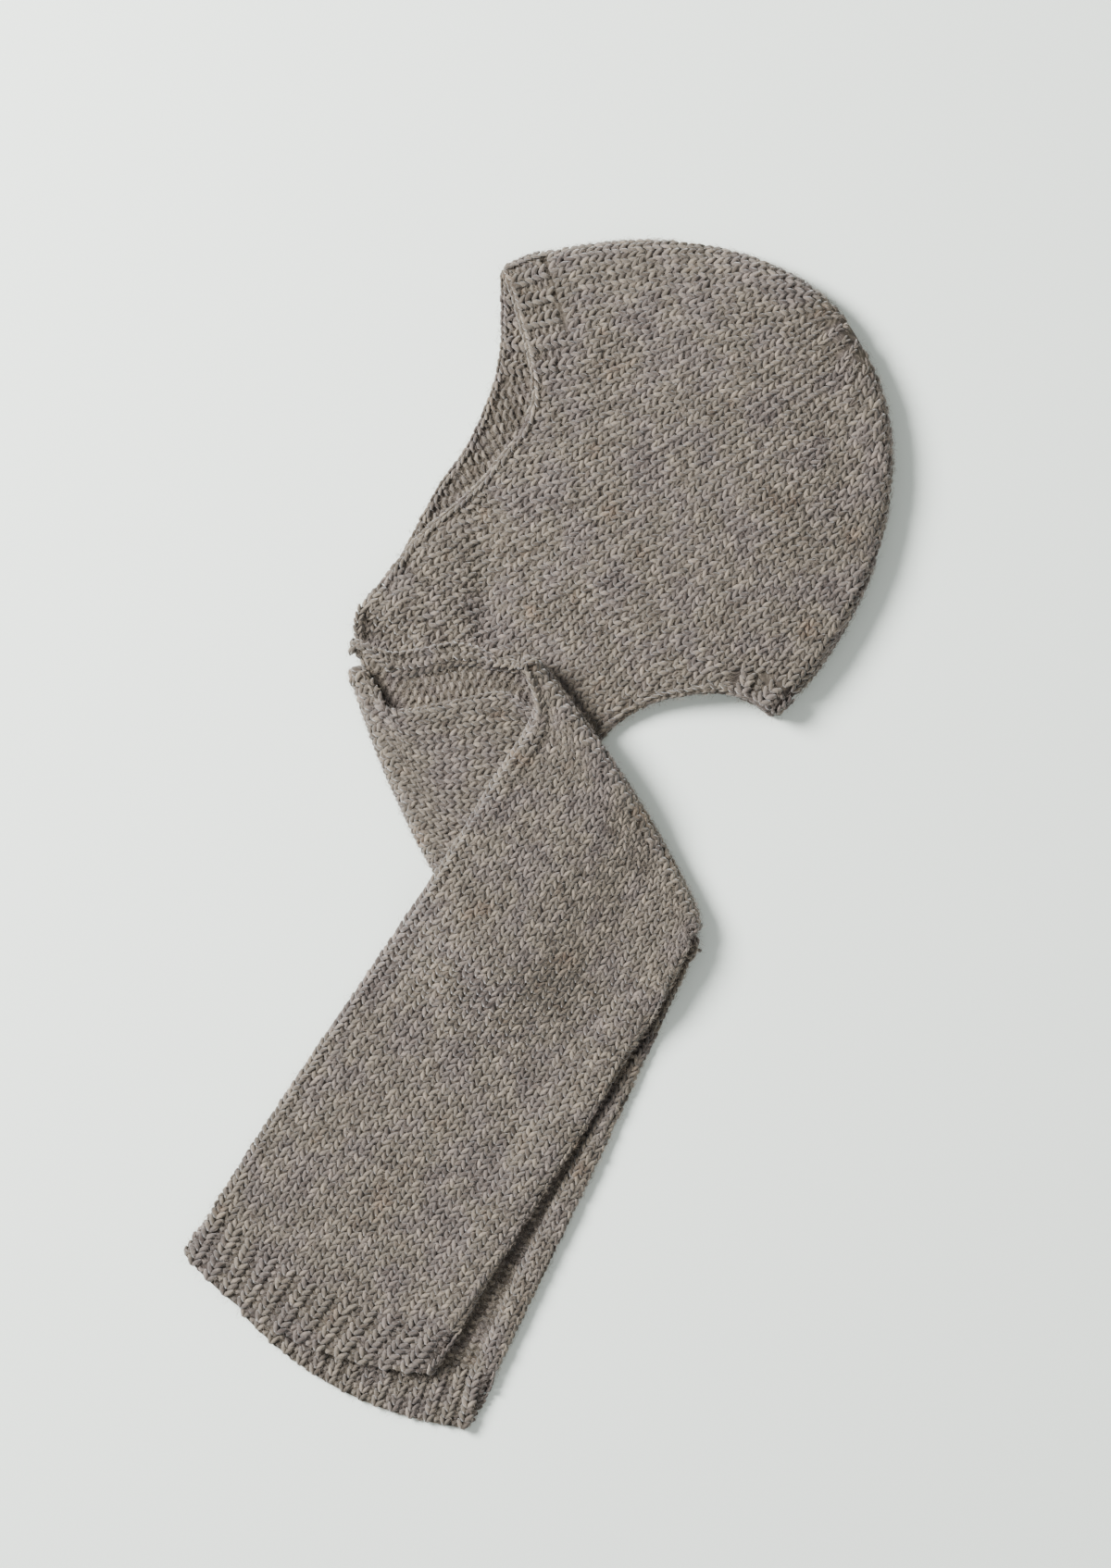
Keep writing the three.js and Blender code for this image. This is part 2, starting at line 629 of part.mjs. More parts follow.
// The section of a tail across its width: where its two faces lie, from the front to the back.
// Each edge has curled to the purl side by its roll share.
function sectionAcross(line, columns, relief) {
  const width = line.front.distanceTo(line.back);
  const edge = (roll) => ({
    half: lerp(HALF_WALL, ROLL_WIDTH / 2, roll),
    deep: lerp(HALF_WALL, ROLL_HEIGHT / 2, roll),
  });
  const front = edge(line.rollFront);
  const back = edge(line.rollBack);
  const turns = Array.from({ length: CURL_STEPS + 1 }, (_, i) => i / CURL_STEPS);
  const stops = turns.map((turn) => front.half * (1 - Math.cos(turn * Math.PI)));
  for (let i = 1; i < columns; i++) {
    stops.push(lerp(2 * front.half, width - 2 * back.half, i / columns));
  }
  stops.push(...turns.map((turn) => width - back.half * (1 - Math.cos(turn * Math.PI))).reverse());
  return stops.map((stop) => {
    const near = stop < width / 2 ? front : back;
    const fromEdge = stop < width / 2 ? stop : width - stop;
    const across = Math.min(fromEdge / near.half - 1, 1);
    const bulge = near.deep * Math.sqrt(Math.max(1 - across * across, 0));
    const middle = HALF_WALL - near.deep;
    const wave = relief ? 0.5 - 0.5 * Math.cos((2 * Math.PI * stop) / RIB_PITCH) : 0;
    return {
      along: stop / width,
      knit: across < 0 ? middle + bulge : HALF_WALL - RIB_RELIEF * wave,
      purl: across < 1 ? Math.min(middle - bulge, across < 0 ? middle : -HALF_WALL) : -HALF_WALL,
      lift: {
        front: (2 * front.deep - KNIT_WALL) * fade(Math.max(stop - 2 * front.half, 0), LIFT_REACH),
        back: (2 * back.deep - KNIT_WALL) * fade(Math.max(width - stop - 2 * back.half, 0), LIFT_REACH),
      },
    };
  });
}

// A line across one run of a tail, as two rows of points, one for each face of the knit
function runRows(line, run, columns, relief = false) {
  const section = sectionAcross(line, columns, relief);
  const side = run.knitUp ? 1 : -1;
  const row = (face) =>
    section.map((cell) => {
      const point = linePoint(line, cell.along);
      point.z = layerHeight[run.name](run.level, point) + liftOf(cell, run) + side * cell[face];
      return point;
    });
  return { knit: row('knit'), purl: row('purl') };
}
const liftOf = (cell, run) =>
  (run.liftFront ? cell.lift.front : 0) + (run.liftBack ? cell.lift.back : 0);

// The rows of a fold, from the lower run round to the upper run
function foldRows(line, lower, upper, outward) {
  const section = sectionAcross(line, TAIL_COLUMNS, false);
  const side = lower.knitUp ? -1 : 1;
  const rows = [];
  for (let step = 0; step <= BEND_STEPS; step++) {
    const turn = (step / BEND_STEPS) * Math.PI;
    const radial = outward.clone().multiplyScalar(Math.sin(turn)).addScaledVector(UP, -Math.cos(turn));
    const row = (face) =>
      section.map((cell) => {
        const apex = linePoint(line, cell.along);
        const bottom = layerHeight[lower.name](lower.level, apex) + liftOf(cell, lower);
        const top = layerHeight[upper.name](upper.level, apex) + liftOf(cell, upper);
        const radius = (top - bottom) / 2;
        const point = apex.addScaledVector(outward, -radius).addScaledVector(radial, radius);
        point.z += (top + bottom) / 2;
        return point.addScaledVector(radial, side * cell[face]);
      });
    rows.push({ knit: row('knit'), purl: row('purl') });
  }
  return rows;
}

// A line moved in from a fold's outer edge, where the flat run meets the bend
function insetLine(line, amount) {
  return { ...line, front: line.front.clone().add(amount), back: line.back.clone().add(amount) };
}

// A tail, from the neck line round its two folds to the hem
function makeTail(runs, layers) {
  const foldOutward = (line, sign) => {
    const across = line.back.clone().sub(line.front).normalize();
    return rightOf(across).multiplyScalar(sign);
  };
  const firstOut = foldOutward(runs.neck.at(-1), 1);
  const secondOut = foldOutward(runs.crossing.at(-1), -1);
  const firstRadius = ((layers.crossing.level - layers.neck.level) * PITCH) / 2;
  const secondRadius = ((layers.fall.level - layers.crossing.level) * PITCH) / 2;
  const rows = [];

  const neckLines = [
    insetLine(runs.neck[0], towardsCrown.clone().multiplyScalar(-JOIN_GAP / 2)),
    insetLine(runs.neck.at(-1), firstOut.clone().multiplyScalar(-firstRadius)),
  ];
  for (const position of NECK_ROWS) {
    rows.push(runRows(blendLines(neckLines, position), layers.neck, TAIL_COLUMNS));
  }
  rows.push(...foldRows(runs.neck.at(-1), layers.neck, layers.crossing, firstOut));

  const crossingLines = [
    insetLine(runs.crossing[0], firstOut.clone().multiplyScalar(-firstRadius)),
    ...runs.crossing.slice(1, -1),
    insetLine(runs.crossing.at(-1), secondOut.clone().multiplyScalar(-secondRadius)),
  ];
  const crossings = crossingLines.length - 1;
  for (let position = CROSSING_SPACING; position < crossings; position += CROSSING_SPACING) {
    rows.push(runRows(blendLines(crossingLines, position), layers.crossing, TAIL_COLUMNS));
  }
  rows.push(...foldRows(runs.crossing.at(-1), layers.crossing, layers.fall, secondOut));

  const fallLines = [
    insetLine(runs.fall[0], secondOut.clone().multiplyScalar(-secondRadius)),
    ...runs.fall.slice(1),
  ];
  for (const position of FALL_ROWS) {
    rows.push(runRows(blendLines(fallLines, position), layers.fall, TAIL_COLUMNS));
  }
  const skin = new Skin();
  skin.slab(rows.map((row) => row.knit), rows.map((row) => row.purl));
  return skin;
}

// A tail's ribbed hem, which carries on from the tail's last line across
function makeHem(runs, layers) {
  const seam = runs.fall.at(-1);
  const rows = [];
  for (let row = 0; row <= HEM_ROWS; row++) {
    const down = lerp(JOIN_GAP, HEM_LENGTH, row / HEM_ROWS);
    const line = insetLine(seam, seam.course.clone().multiplyScalar(down));
    const curl = 1 - HEM_UNCURL * (row / HEM_ROWS);
    line.rollFront = seam.rollFront * curl;
    line.rollBack = seam.rollBack * curl;
    rows.push(runRows(line, layers.fall, HEM_COLUMNS, true));
  }
  const skin = new Skin();
  skin.slab(rows.map((row) => row.knit), rows.map((row) => row.purl));
  return skin;
}

const LEFT_LAYERS = {
  neck: { name: 'neck', level: 1, knitUp: true, liftFront: true },
  crossing: { name: 'crossing', level: 2, knitUp: false },
  fall: { name: 'fall', level: 5, knitUp: true, liftBack: true },
};
const RIGHT_LAYERS = {
  neck: { name: 'neck', level: 0, knitUp: false },
  crossing: { name: 'crossing', level: 3, knitUp: true, liftFront: true },
  fall: { name: 'fall', level: 4, knitUp: false },
};

const wool = (name, color) => {
  const material = new THREE.MeshStandardMaterial({ color, roughness: 0.95, metalness: 0 });
  material.name = name;
  return material;
};
const stockinette = wool('greige_knit', 0x85796f);
const ribbing = wool('greige_rib', 0x7a6e65);

const hood = new THREE.Group();
hood.name = 'snood_hood';
hood.add(
  makeCrown().mesh('crown', stockinette),
  makeRib(ribs.forehead).mesh('forehead_rib', ribbing),
  makeRib(ribs.nape).mesh('nape_rib', ribbing),
  makeTail(leftRuns, LEFT_LAYERS).mesh('left_tail', stockinette),
  makeTail(rightRuns, RIGHT_LAYERS).mesh('right_tail', stockinette),
  makeHem(leftRuns, LEFT_LAYERS).mesh('left_tail_hem', ribbing),
  makeHem(rightRuns, RIGHT_LAYERS).mesh('right_tail_hem', ribbing),
);

// The origin goes under the middle of the lying hood
const bounds = new THREE.Box3().setFromObject(hood);
const middle = bounds.getCenter(new THREE.Vector3());
hood.position.set(-middle.x, -middle.y, -bounds.min.z);

export default hood;
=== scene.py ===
import functools
import math

import bmesh
import bpy
import numpy as np
from bpy.props import FloatProperty, FloatVectorProperty, IntProperty, PointerProperty
from mathutils.bvhtree import BVHTree
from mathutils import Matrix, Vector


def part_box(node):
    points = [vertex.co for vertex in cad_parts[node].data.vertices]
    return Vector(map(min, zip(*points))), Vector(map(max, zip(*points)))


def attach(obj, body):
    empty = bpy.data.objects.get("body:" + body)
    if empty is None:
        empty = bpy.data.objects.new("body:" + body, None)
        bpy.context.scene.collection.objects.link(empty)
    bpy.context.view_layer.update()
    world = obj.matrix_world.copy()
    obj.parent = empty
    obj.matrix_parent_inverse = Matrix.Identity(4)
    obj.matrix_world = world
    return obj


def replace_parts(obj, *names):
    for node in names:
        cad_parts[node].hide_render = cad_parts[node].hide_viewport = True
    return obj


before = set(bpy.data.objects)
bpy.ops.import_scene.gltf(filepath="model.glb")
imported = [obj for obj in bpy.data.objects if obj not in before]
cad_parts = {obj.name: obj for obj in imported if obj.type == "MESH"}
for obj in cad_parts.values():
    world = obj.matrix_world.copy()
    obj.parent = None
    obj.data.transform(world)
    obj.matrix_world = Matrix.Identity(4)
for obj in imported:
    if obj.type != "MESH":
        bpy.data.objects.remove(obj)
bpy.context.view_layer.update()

bl_info = {
    "name": "Snood hood",
    "version": (1, 0, 0),
    "blender": (4, 5, 0),
    "location": "3D View > Sidebar > Snood",
    "description": "Knits a hood with two scarf tails, stitch by stitch, as it lies folded on a table",
    "category": "Object",
}

# Sizes are in millimetres, from the lying hood's lower left corner, until a mesh is made.
# They are the sizes of the solids that the pieces stand for.
WALL = 3.2
LAYER_GAP = 0.9
ROLL_WIDTH = 12.0
ROLL_HEIGHT = 6.6
HOOD_WIDTH = 191.0
HOOD_HEIGHT = 233.0
HOOD_AIR = 10.4
HOOD_PUFF = 3.0
PUFF_REACH = 55.0
NECK_CLEAR = 2.0
NECK_RISE = 58.0
FOREHEAD_RIB = 19.0
NAPE_RIB = 13.0
TAIL_WIDTH = 132.0
TAIL_LENGTH = 450.0
HEM_LENGTH = 27.0
DRAPE_REACH = 48.0
DRAPE_EASE = 10.0
NECK_LEDGE = 11.0
LIFT_REACH = 16.0
NECK_SWELL = 5.0
SWELL_ACROSS = 0.1
SWELL_REACH = 40.0
POCKET_SWELL = 4.0
POCKET_REACH = 30.0
EDGE_RIDGE = 1.8  # height of the soft ridge along the upper tail's front edge
RIDGE_REACH = 12.0  # its width
RIDGE_LENGTH = 90.0  # the length over which it sinks away

# The knit
WALE = 5.4  # one stitch, side to side
COURSE = 3.5  # one stitch, up and down
CHAIN = 3.9  # one loop of the chains along the hood's free edges
CHAIN_WIDTH = 4.6
CHAIN_START = 2.0  # how far from an edge's start its first loop lies
GROUND = 0.9  # how far the ground of the knit lies below its outer face
YARN_STANDS = 0.7  # how far loops stand out past that face at the rim
TIGHTEST = 0.15  # no face of the knit bends round a smaller radius than this
OFF_WALL = 2.0  # a loop further than this from its wall is left out
LEAST_HEIGHT = 0.9  # no loop's middle is nearer to the board than this
SINK = {"hood": 0.75, "tail": 0.72, "rib": 0.7, "inside": 0.6}  # how deep loops sink into the face
CURL_TURN = 262  # degrees through which the knit face turns at an edge that has curled
EDGE_TURN = 180  # the same at one that hasn't

# A loop is covered if walls lie within SIGHT of it on all of these lines, straight out from the knit
# and leaning. Columns: lean across, lean along.
SIGHT = 18.0
LEANS = ((0, 0), (1.2, 0), (-1.2, 0), (0, 1.2), (0, -1.2))

# How uneven the knitting is: the spread of each loop's turn in radians, size, place and depth
LOOP_TURN = 0.07
LOOP_SIZE = 0.05
LOOP_SHIFT = 0.045
LOOP_DEPTH = 0.09

# As shares of a stitch: a loop shorter or taller than this is left out, and its width is held
HEIGHT_LIMITS = (0.5, 1.6)
WIDTH_LIMITS = (0.55, 1.35)

# Ribs: how far their wales stand out, and their width as a share of a stitch
RIB_WALES = {"knit": (0.85, 1.2), "purl": (-0.3, 0.8)}
HEM_WALES = {"knit": (0.8, 1.2), "purl": (-0.3, 0.9)}

# Rows of points along the outlines and the tails
OUTLINE_STEPS = 120
FACE_STEPS = 80
NAPE_STEPS = 60
FOLD_ROWS = 13
NECK_ROWS = 20
CROSSING_ROWS = 30
FALL_ROWS = 120
HEM_ROWS = 10
RIB_COLUMNS = 44
RIB_ROWS = 8
RIM_EXTRA = 3.9  # how much longer the knit is where it bends round the rim

# A fold takes up this share of the first step after it, or of the last one before it.
AFTER_FOLD = 0.12
BEFORE_FIRST_FOLD = 0.1
BEFORE_SECOND_FOLD = 0.08

HALF = WALL / 2
PITCH = WALL + LAYER_GAP
RIM = (HOOD_AIR + WALL) / 2

# The folded edge of the lying hood, from the forehead corner over the crown to the nape corner.
# Columns: share of HOOD_WIDTH, share of HOOD_HEIGHT.
CROWN_OUTLINE = (
    (0.0, 0.94),
    (0.073, 0.965),
    (0.186, 0.986),
    (0.374, 1.0),
    (0.527, 0.988),
    (0.668, 0.957),
    (0.788, 0.905),
    (0.88, 0.838),
    (0.948, 0.741),
    (0.991, 0.629),
    (1.0, 0.513),
    (0.984, 0.41),
    (0.948, 0.304),
    (0.885, 0.193),
    (0.798, 0.085),
    (0.699, 0.0),
)

# The face opening's two edges, from the forehead corner to the front of the neck line
LEFT_FACE_EDGE = (
    (0.0, 0.94),
    (0.03, 0.884),
    (0.051, 0.822),
    (0.075, 0.741),
    (0.085, 0.667),
    (0.059, 0.605),
    (0.009, 0.551),
    (-0.059, 0.485),
    (-0.144, 0.426),
    (-0.219, 0.371),
    (-0.301, 0.284),
)
RIGHT_FACE_EDGE = (
    (0.0, 0.94),
    (0.003, 0.899),
    (0.005, 0.832),
    (0.002, 0.764),
    (-0.016, 0.696),
    (-0.052, 0.619),
    (-0.096, 0.551),
    (-0.151, 0.489),
    (-0.198, 0.42),
    (-0.247, 0.345),
    (-0.292, 0.273),
)

# The neck's lower edge, from the back of the neck line to the nape corner
NECK_EDGE = (
    (0.268, -0.029),
    (0.374, 0.031),
    (0.468, 0.051),
    (0.56, 0.056),
    (0.638, 0.037),
    (0.699, 0.0),
)

# Columns: share of the edge from its corner, share of the rib's width
FOREHEAD_TAPER = ((0.0, 1.0), (0.2, 0.98), (0.27, 0.8), (0.33, 0.12))
NAPE_TAPER = ((0.0, 1.0), (0.14, 1.0), (0.2, 0.7), (0.25, 0.15))

# Each tail's lines across, from the neck line to the hem. Columns: step along the front edge as a
# share of TAIL_LENGTH, its direction, the direction across, the span as a share of TAIL_WIDTH, how
# far the front and the back edge have curled, and how far the line bows towards the hem.
LEFT_NECK = (
    (0.0, -135, -44.3, 1.015, 0.3, 0.0, 0.0),
    (0.035, -129.4, -52.5, 1.062, 0.3, 0.0, 0.0),
    (0.038, -102.5, -61.9, 1.094, 0.3, 0.0, 0.0),
)
LEFT_CROSSING = (
    (0.0391, -16.7, -62.4, 1.05, 1.0, 0.0, 0.0),
    (0.086, 7.4, -62.5, 1.107, 1.0, 0.0, 0.0),
    (0.069, -9.2, -57.8, 1.197, 0.8, 0.0, 0.05),
)
LEFT_FALL = (
    (0.059, -86.1, -55.4, 1.052, 0.8, 0.2, 0.0),
    (0.09, -119.1, -48.3, 1.0, 0.8, 0.4, 0.0),
    (0.113, -121.6, -40.4, 0.967, 0.8, 0.7, 0.02),
    (0.149, -124.3, -34.1, 0.98, 0.8, 1.0, 0.05),
    (0.157, -124.1, -29.3, 0.997, 0.8, 1.0, 0.08),
    (0.131, -122.8, -26.0, 1.013, 0.6, 0.7, 0.11),
)
RIGHT_NECK = (
    (0.0, -135, -44.2, 1.008, 0.0, 0.0, 0.0),
    (0.097, -112.0, -63.6, 1.122, 0.3, 0.0, 0.07),
)
RIGHT_CROSSING = (
    (0.0557, -44.8, -62.0, 1.031, 0.6, 0.0, 0.0),
    (0.08, 6.4, -60.8, 1.082, 0.6, 0.0, 0.0),
    (0.046, 10.1, -60.3, 1.102, 0.5, 0.0, 0.0),
    (0.065, -27.3, -57.3, 0.997, 0.0, 0.0, 0.0),
)
RIGHT_FALL = (
    (0.039, -88.5, -57.6, 0.929, 0.0, 0.0, 0.0),
    (0.063, -128.0, -55.3, 0.941, 0.0, 0.1, 0.0),
    (0.099, -120.5, -45.5, 0.899, 0.0, 0.35, 0.02),
    (0.171, -121.8, -33.9, 0.924, 0.0, 0.85, 0.05),
    (0.161, -119.7, -27.9, 0.953, 0.0, 1.0, 0.07),
    (0.138, -115.8, -27.2, 0.955, 0.0, 0.9, 0.09),
)

# Where the tails' folds end in rounded corners. Columns: run's last line, which end of it, how far
# the corner is drawn in, or out where that is below zero, and over what length.
CORNERS = {
    "left": (
        ("neck", "front", -0.6, 13.0),
        ("crossing", "front", 3.0, 12.0),
        ("crossing", "back", 3.5, 14.0),
    ),
    "right": (
        ("neck", "front", -0.8, 13.0),
        ("crossing", "back", 3.5, 14.0),
    ),
}
CORNER_FADE = (-3.2, -0.2)  # where a corner's drawing in starts and is whole, in lengths from its fold
CORNER_MOST = 1.3  # the most that it grows past the corner, before it is squared

# Hollows and ridges pressed into the upper knit by hand. Columns: ends of its line, half its width,
# and its height, which is below zero for a hollow.
HOOD_CREASES = (
    ((-8.6, 98.0), (-5.5, 40.0), 13.0, -2.8),
    ((-30.0, 88.0), (-44.0, 70.0), 13.0, 0.9),
)
POCKET_CREASES = (
    ((-60.0, 42.0), (-50.0, 38.0), 15.0, -5.2),
    ((-71.0, 54.0), (-73.0, 40.0), 8.0, 3.0),
)

# How the hood's wales run. They leave the neck at WALE_SLOPE and bend round to meet at the pole.
POLE = np.array((177.3, 189.0))
WALE_SLOPE = math.radians(33)
WALE_BEND = 0.35  # 0 keeps the wales parallel, 1 makes them straight lines from the pole
WALE_REACH = (-25.0, 26.0)  # the first and last wale's label
POLE_BARE = 5.0  # no stitch is nearer to the pole than this
MERGE_REACH = 14.0  # the length over which a wale that is decreased away narrows
MERGE_LEAST = 0.4
WALES_COUNTED = 260.0  # the distance from the pole at which the wales are counted
LAST_COURSE = 330.0  # the distance from the pole where the courses end
GOLDEN = 0.618034  # spreads the decreases evenly over the hood

# The crown's wall, laid out as a fan from one place on the folded edge to the brim
CROWN_ROWS = 60
CROWN_COLUMNS = 90
FAN_MIDDLE = 0.47  # that place, as a share of the folded edge
FAN_SHARES = (0.34, 0.38, 0.28)  # columns that end on the face edge, the neck line and the nape
FAN_TIGHTENS = 0.9  # below 1, rows lie closer together near the brim
CRAMPED = (0.56, 0.88)  # the columns, as shares, whose cells would fold over if they weren't evened
EVENING_ROUNDS = 80

# Stitches across and down, for the ground's bumps and for the OFBake maps
CROWN_GAUGE = (94, 120)
RIB_GAUGE = (30, 20)
TUBE_WALES = 52
HOOD_COURSES = 94

# The wool's tones. Columns: value of the noise, and the colour there as it shows on a screen.
MELANGE = (
    (0.28, (117, 107, 102)),
    (0.42, (134, 124, 117)),
    (0.52, (137, 127, 115)),
    (0.62, (129, 120, 108)),
    (0.76, (140, 122, 105)),
)

# What that colour is multiplied by in streaks, loop by loop, and in flecks
STREAKS = ((0.34, (0.74, 0.72, 0.72)), (0.5, (1.0, 1.0, 1.0)), (0.68, (1.3, 1.27, 1.24)))
LOOP_SHADES = (
    (0.0, (0.66, 0.63, 0.62)),
    (0.35, (0.86, 0.86, 0.86)),
    (0.7, (1.10, 1.09, 1.07)),
    (1.0, (1.60, 1.57, 1.52)),
)
FLECKS = ((0.3, (0.8, 0.8, 0.8)), (0.7, (1.22, 1.22, 1.22)))

# Chains of loops round the hood's free edges, on its upper side, 1, and its lower side, -1.
# Columns: turn round the edge in degrees, depth in from it.
CHAINS = {1: ((45, 1.7),), -1: ((55, 1.5), (125, 1.5))}

UP = np.array((0.0, 0.0, 1.0))


# Curves and short tables

def smoothstep(value, low, high):
    """0 up to low, 1 from high on, and a smooth rise between them."""
    share = np.clip((value - low) / (high - low), 0, 1)
    return share * share * (3 - 2 * share)


def fade(distance, reach):
    """1 at no distance, falling smoothly to 0 at reach."""
    return 1 - smoothstep(distance, 0, reach)


def mix(a, b, share):
    return a + (b - a) * share


def heading(degrees):
    """The direction at an angle round from the x axis."""
    return np.array((math.cos(math.radians(degrees)), math.sin(math.radians(degrees))))


def unit(vectors):
    size = np.linalg.norm(vectors, axis=-1, keepdims=True)
    return vectors / np.maximum(size, 1e-9)


def right_of(direction):
    """The directions a quarter turn clockwise from the given ones."""
    return np.stack((direction[..., 1], -direction[..., 0]), axis=-1)


def hood_points(table):
    """A table's shares of the hood's width and height, in millimetres."""
    return np.array(table, float) * (HOOD_WIDTH, HOOD_HEIGHT)


def on_spline(points, positions):
    """Points of a centripetal Catmull-Rom curve. A position counts the given points."""
    points = np.asarray(points, float)
    positions = np.asarray(positions, float)
    ends = (2 * points[:1] - points[1:2], points, 2 * points[-1:] - points[-2:-1])
    held = np.concatenate(ends)
    first = np.clip(positions.astype(int), 0, len(points) - 2)
    share = (positions - first)[:, None]
    a, b, c, d = (held[first + k] for k in range(4))
    spans = (b - a, c - b, d - c)
    gaps = [np.maximum(np.linalg.norm(span, axis=1), 1e-6)[:, None] ** 0.5 for span in spans]
    start = ((b - a) / gaps[0] - (c - a) / (gaps[0] + gaps[1]) + (c - b) / gaps[1]) * gaps[1]
    end = ((c - b) / gaps[1] - (d - b) / (gaps[1] + gaps[2]) + (d - c) / gaps[2]) * gaps[1]
    square, cube = share**2, share**3
    return (
        (2 * cube - 3 * square + 1) * b
        + (cube - 2 * square + share) * start
        + (3 * square - 2 * cube) * c
        + (cube - square) * end
    )


class Path:
    """A line that can be read at any distance along it."""

    def __init__(self, points):
        self.points = np.asarray(points, float)
        steps = np.linalg.norm(np.diff(self.points, axis=0), axis=1)
        self.along = np.concatenate(((0,), np.cumsum(steps)))
        self.length = self.along[-1]

    def at(self, distance):
        columns = [np.interp(distance, self.along, column) for column in self.points.T]
        return np.stack(columns, axis=-1)

    def direction(self, distance):
        half = self.length / len(self.points) / 2
        return unit(self.at(np.asarray(distance) + half) - self.at(np.asarray(distance) - half))


def smooth_path(points, steps):
    """A smooth path through points, in even steps."""
    dense = Path(on_spline(points, np.linspace(0, len(points) - 1, steps * 8)))
    return Path(dense.at(np.linspace(0, dense.length, steps + 1)))


def table_at(table, at):
    """Values read off a table of places and values, also between its rows."""
    keys, values = zip(*table)
    return np.interp(at, keys, values)


# The hood's form

def make_outline():
    """The wall along the folded edge, far enough in for its yarn to end at CROWN_OUTLINE."""
    outer = smooth_path(hood_points(CROWN_OUTLINE), OUTLINE_STEPS)
    return Path(outer.points + (HALF + YARN_STANDS) * right_of(outer.direction(outer.along)))


OUTLINE = make_outline()


def to_outline(points):
    """How far inside the outline each point lies, and the direction out to it."""
    starts = OUTLINE.points[:-1]
    sides = OUTLINE.points[1:] - starts
    lengths = (sides**2).sum(1)
    from_start = points[:, None] - starts[None]
    along = np.clip((from_start * sides).sum(2) / lengths, 0, 1)
    away = starts + along[..., None] * sides - points[:, None]
    far = np.linalg.norm(away, axis=2)
    nearest = far.argmin(1)
    rows = np.arange(len(points))
    outward = -right_of(unit(sides))[nearest]
    away, far = away[rows, nearest], far[rows, nearest]
    inside = np.sign((away * outward).sum(1))
    share = nearest + along[rows, nearest]
    inside[(share <= 0) | (share >= len(starts))] = 1
    true_out = unit(away) * inside[:, None]
    return far * inside, np.where((far > 0.05)[:, None], true_out, outward)


def lines_across(table, start):
    """A table's rows as lines across a tail, each with its front and back end."""
    lines = []
    front = start
    for step, course, across, span, roll_front, roll_back, bow in table:
        front = front + heading(course) * step * TAIL_LENGTH
        back = front + heading(across) * span * TAIL_WIDTH
        rolls = {"roll_front": roll_front, "roll_back": roll_back, "bow": bow}
        lines.append({"front": front, "back": back, "course": heading(course), **rolls})
    return lines


def tail_runs(neck, crossing, fall, start):
    """A tail's three runs: down the neck, the crossing back over it, and the fall to the hem."""
    neck = lines_across(neck, start)
    crossing = lines_across(crossing, neck[-1]["front"])
    fall = lines_across(fall, crossing[-1]["front"])
    return {"neck": neck, "crossing": [neck[-1], *crossing], "fall": [crossing[-1], *fall]}


NECK_FRONT = hood_points(LEFT_FACE_EDGE)[-1]
LEFT_RUNS = tail_runs(LEFT_NECK, LEFT_CROSSING, LEFT_FALL, NECK_FRONT)
RIGHT_RUNS = tail_runs(RIGHT_NECK, RIGHT_CROSSING, RIGHT_FALL, hood_points(RIGHT_FACE_EDGE)[-1])

NECK_ACROSS = unit(LEFT_RUNS["neck"][0]["back"] - NECK_FRONT)
TOWARDS_CROWN = -right_of(NECK_ACROSS)
NECK_FLAT = (LEFT_RUNS["fall"][0]["front"] - NECK_FRONT) @ TOWARDS_CROWN + NECK_CLEAR
SWELL_CENTRE = NECK_FRONT + NECK_ACROSS * SWELL_ACROSS * TAIL_WIDTH
POCKET_CENTRE = LEFT_RUNS["crossing"][0]["front"]
STACK_BACK = RIGHT_RUNS["crossing"][0]["back"]


def beyond(a, b, points):
    """How far points lie beyond the line from a to b, on its left."""
    return (points - a) @ -right_of(unit(b - a))


def neck_swell(points):
    """How far the bulk at the front of the neck raises the layers."""
    return NECK_SWELL * fade(np.linalg.norm(points - SWELL_CENTRE, axis=-1), SWELL_REACH)


def pocket_swell(points):
    """How far the upper layers rise round the front end of the first fold."""
    return POCKET_SWELL * fade(np.linalg.norm(points - POCKET_CENTRE, axis=-1), POCKET_REACH)


def creases(points, table):
    """The height that a table's creases add at each point."""
    total = 0
    for start, end, reach, height in table:
        start, end = np.array(start), np.array(end)
        along = np.clip(((points - start) @ (end - start)) / ((end - start) @ (end - start)), 0, 1)
        away = np.linalg.norm(points - start - along[..., None] * (end - start), axis=-1)
        total = total + height * fade(away, reach)
    return total


def past_neck(points):
    """0 over the neck's layers, 1 where a tail has come down past them."""
    distance = beyond(LEFT_RUNS["neck"][0]["back"], STACK_BACK, points)
    return smoothstep(distance, NECK_LEDGE, NECK_LEDGE + DRAPE_REACH)


def past_stack(points, reach):
    """0 over the whole stack, 1 where a fall has come down past it."""
    past_fold = beyond(STACK_BACK, RIGHT_RUNS["crossing"][0]["front"], points)
    past_back = beyond(RIGHT_RUNS["fall"][0]["back"], STACK_BACK, points)
    return 1 - fade(np.maximum(past_fold, 0), reach) * fade(np.maximum(past_back, 0), reach)


def layer_height(layer, points):
    """Mid-wall height of a layer of a tail above the table."""
    run, level = layer["run"], layer["level"]
    if run == "neck":
        if not level:
            return np.full(len(points), HALF)
        return HALF + level * PITCH + neck_swell(points) + creases(points, POCKET_CREASES)
    swell = neck_swell(points) + pocket_swell(points)
    if run == "crossing":
        return HALF + (level - 2 * past_neck(points)) * PITCH + swell
    past = past_stack(points, DRAPE_REACH + (DRAPE_EASE if level > 4 else 0))
    drop = 4 * past + 2 * past_neck(points) * (1 - past)
    return HALF + (level - drop) * PITCH + swell * (1 - past)


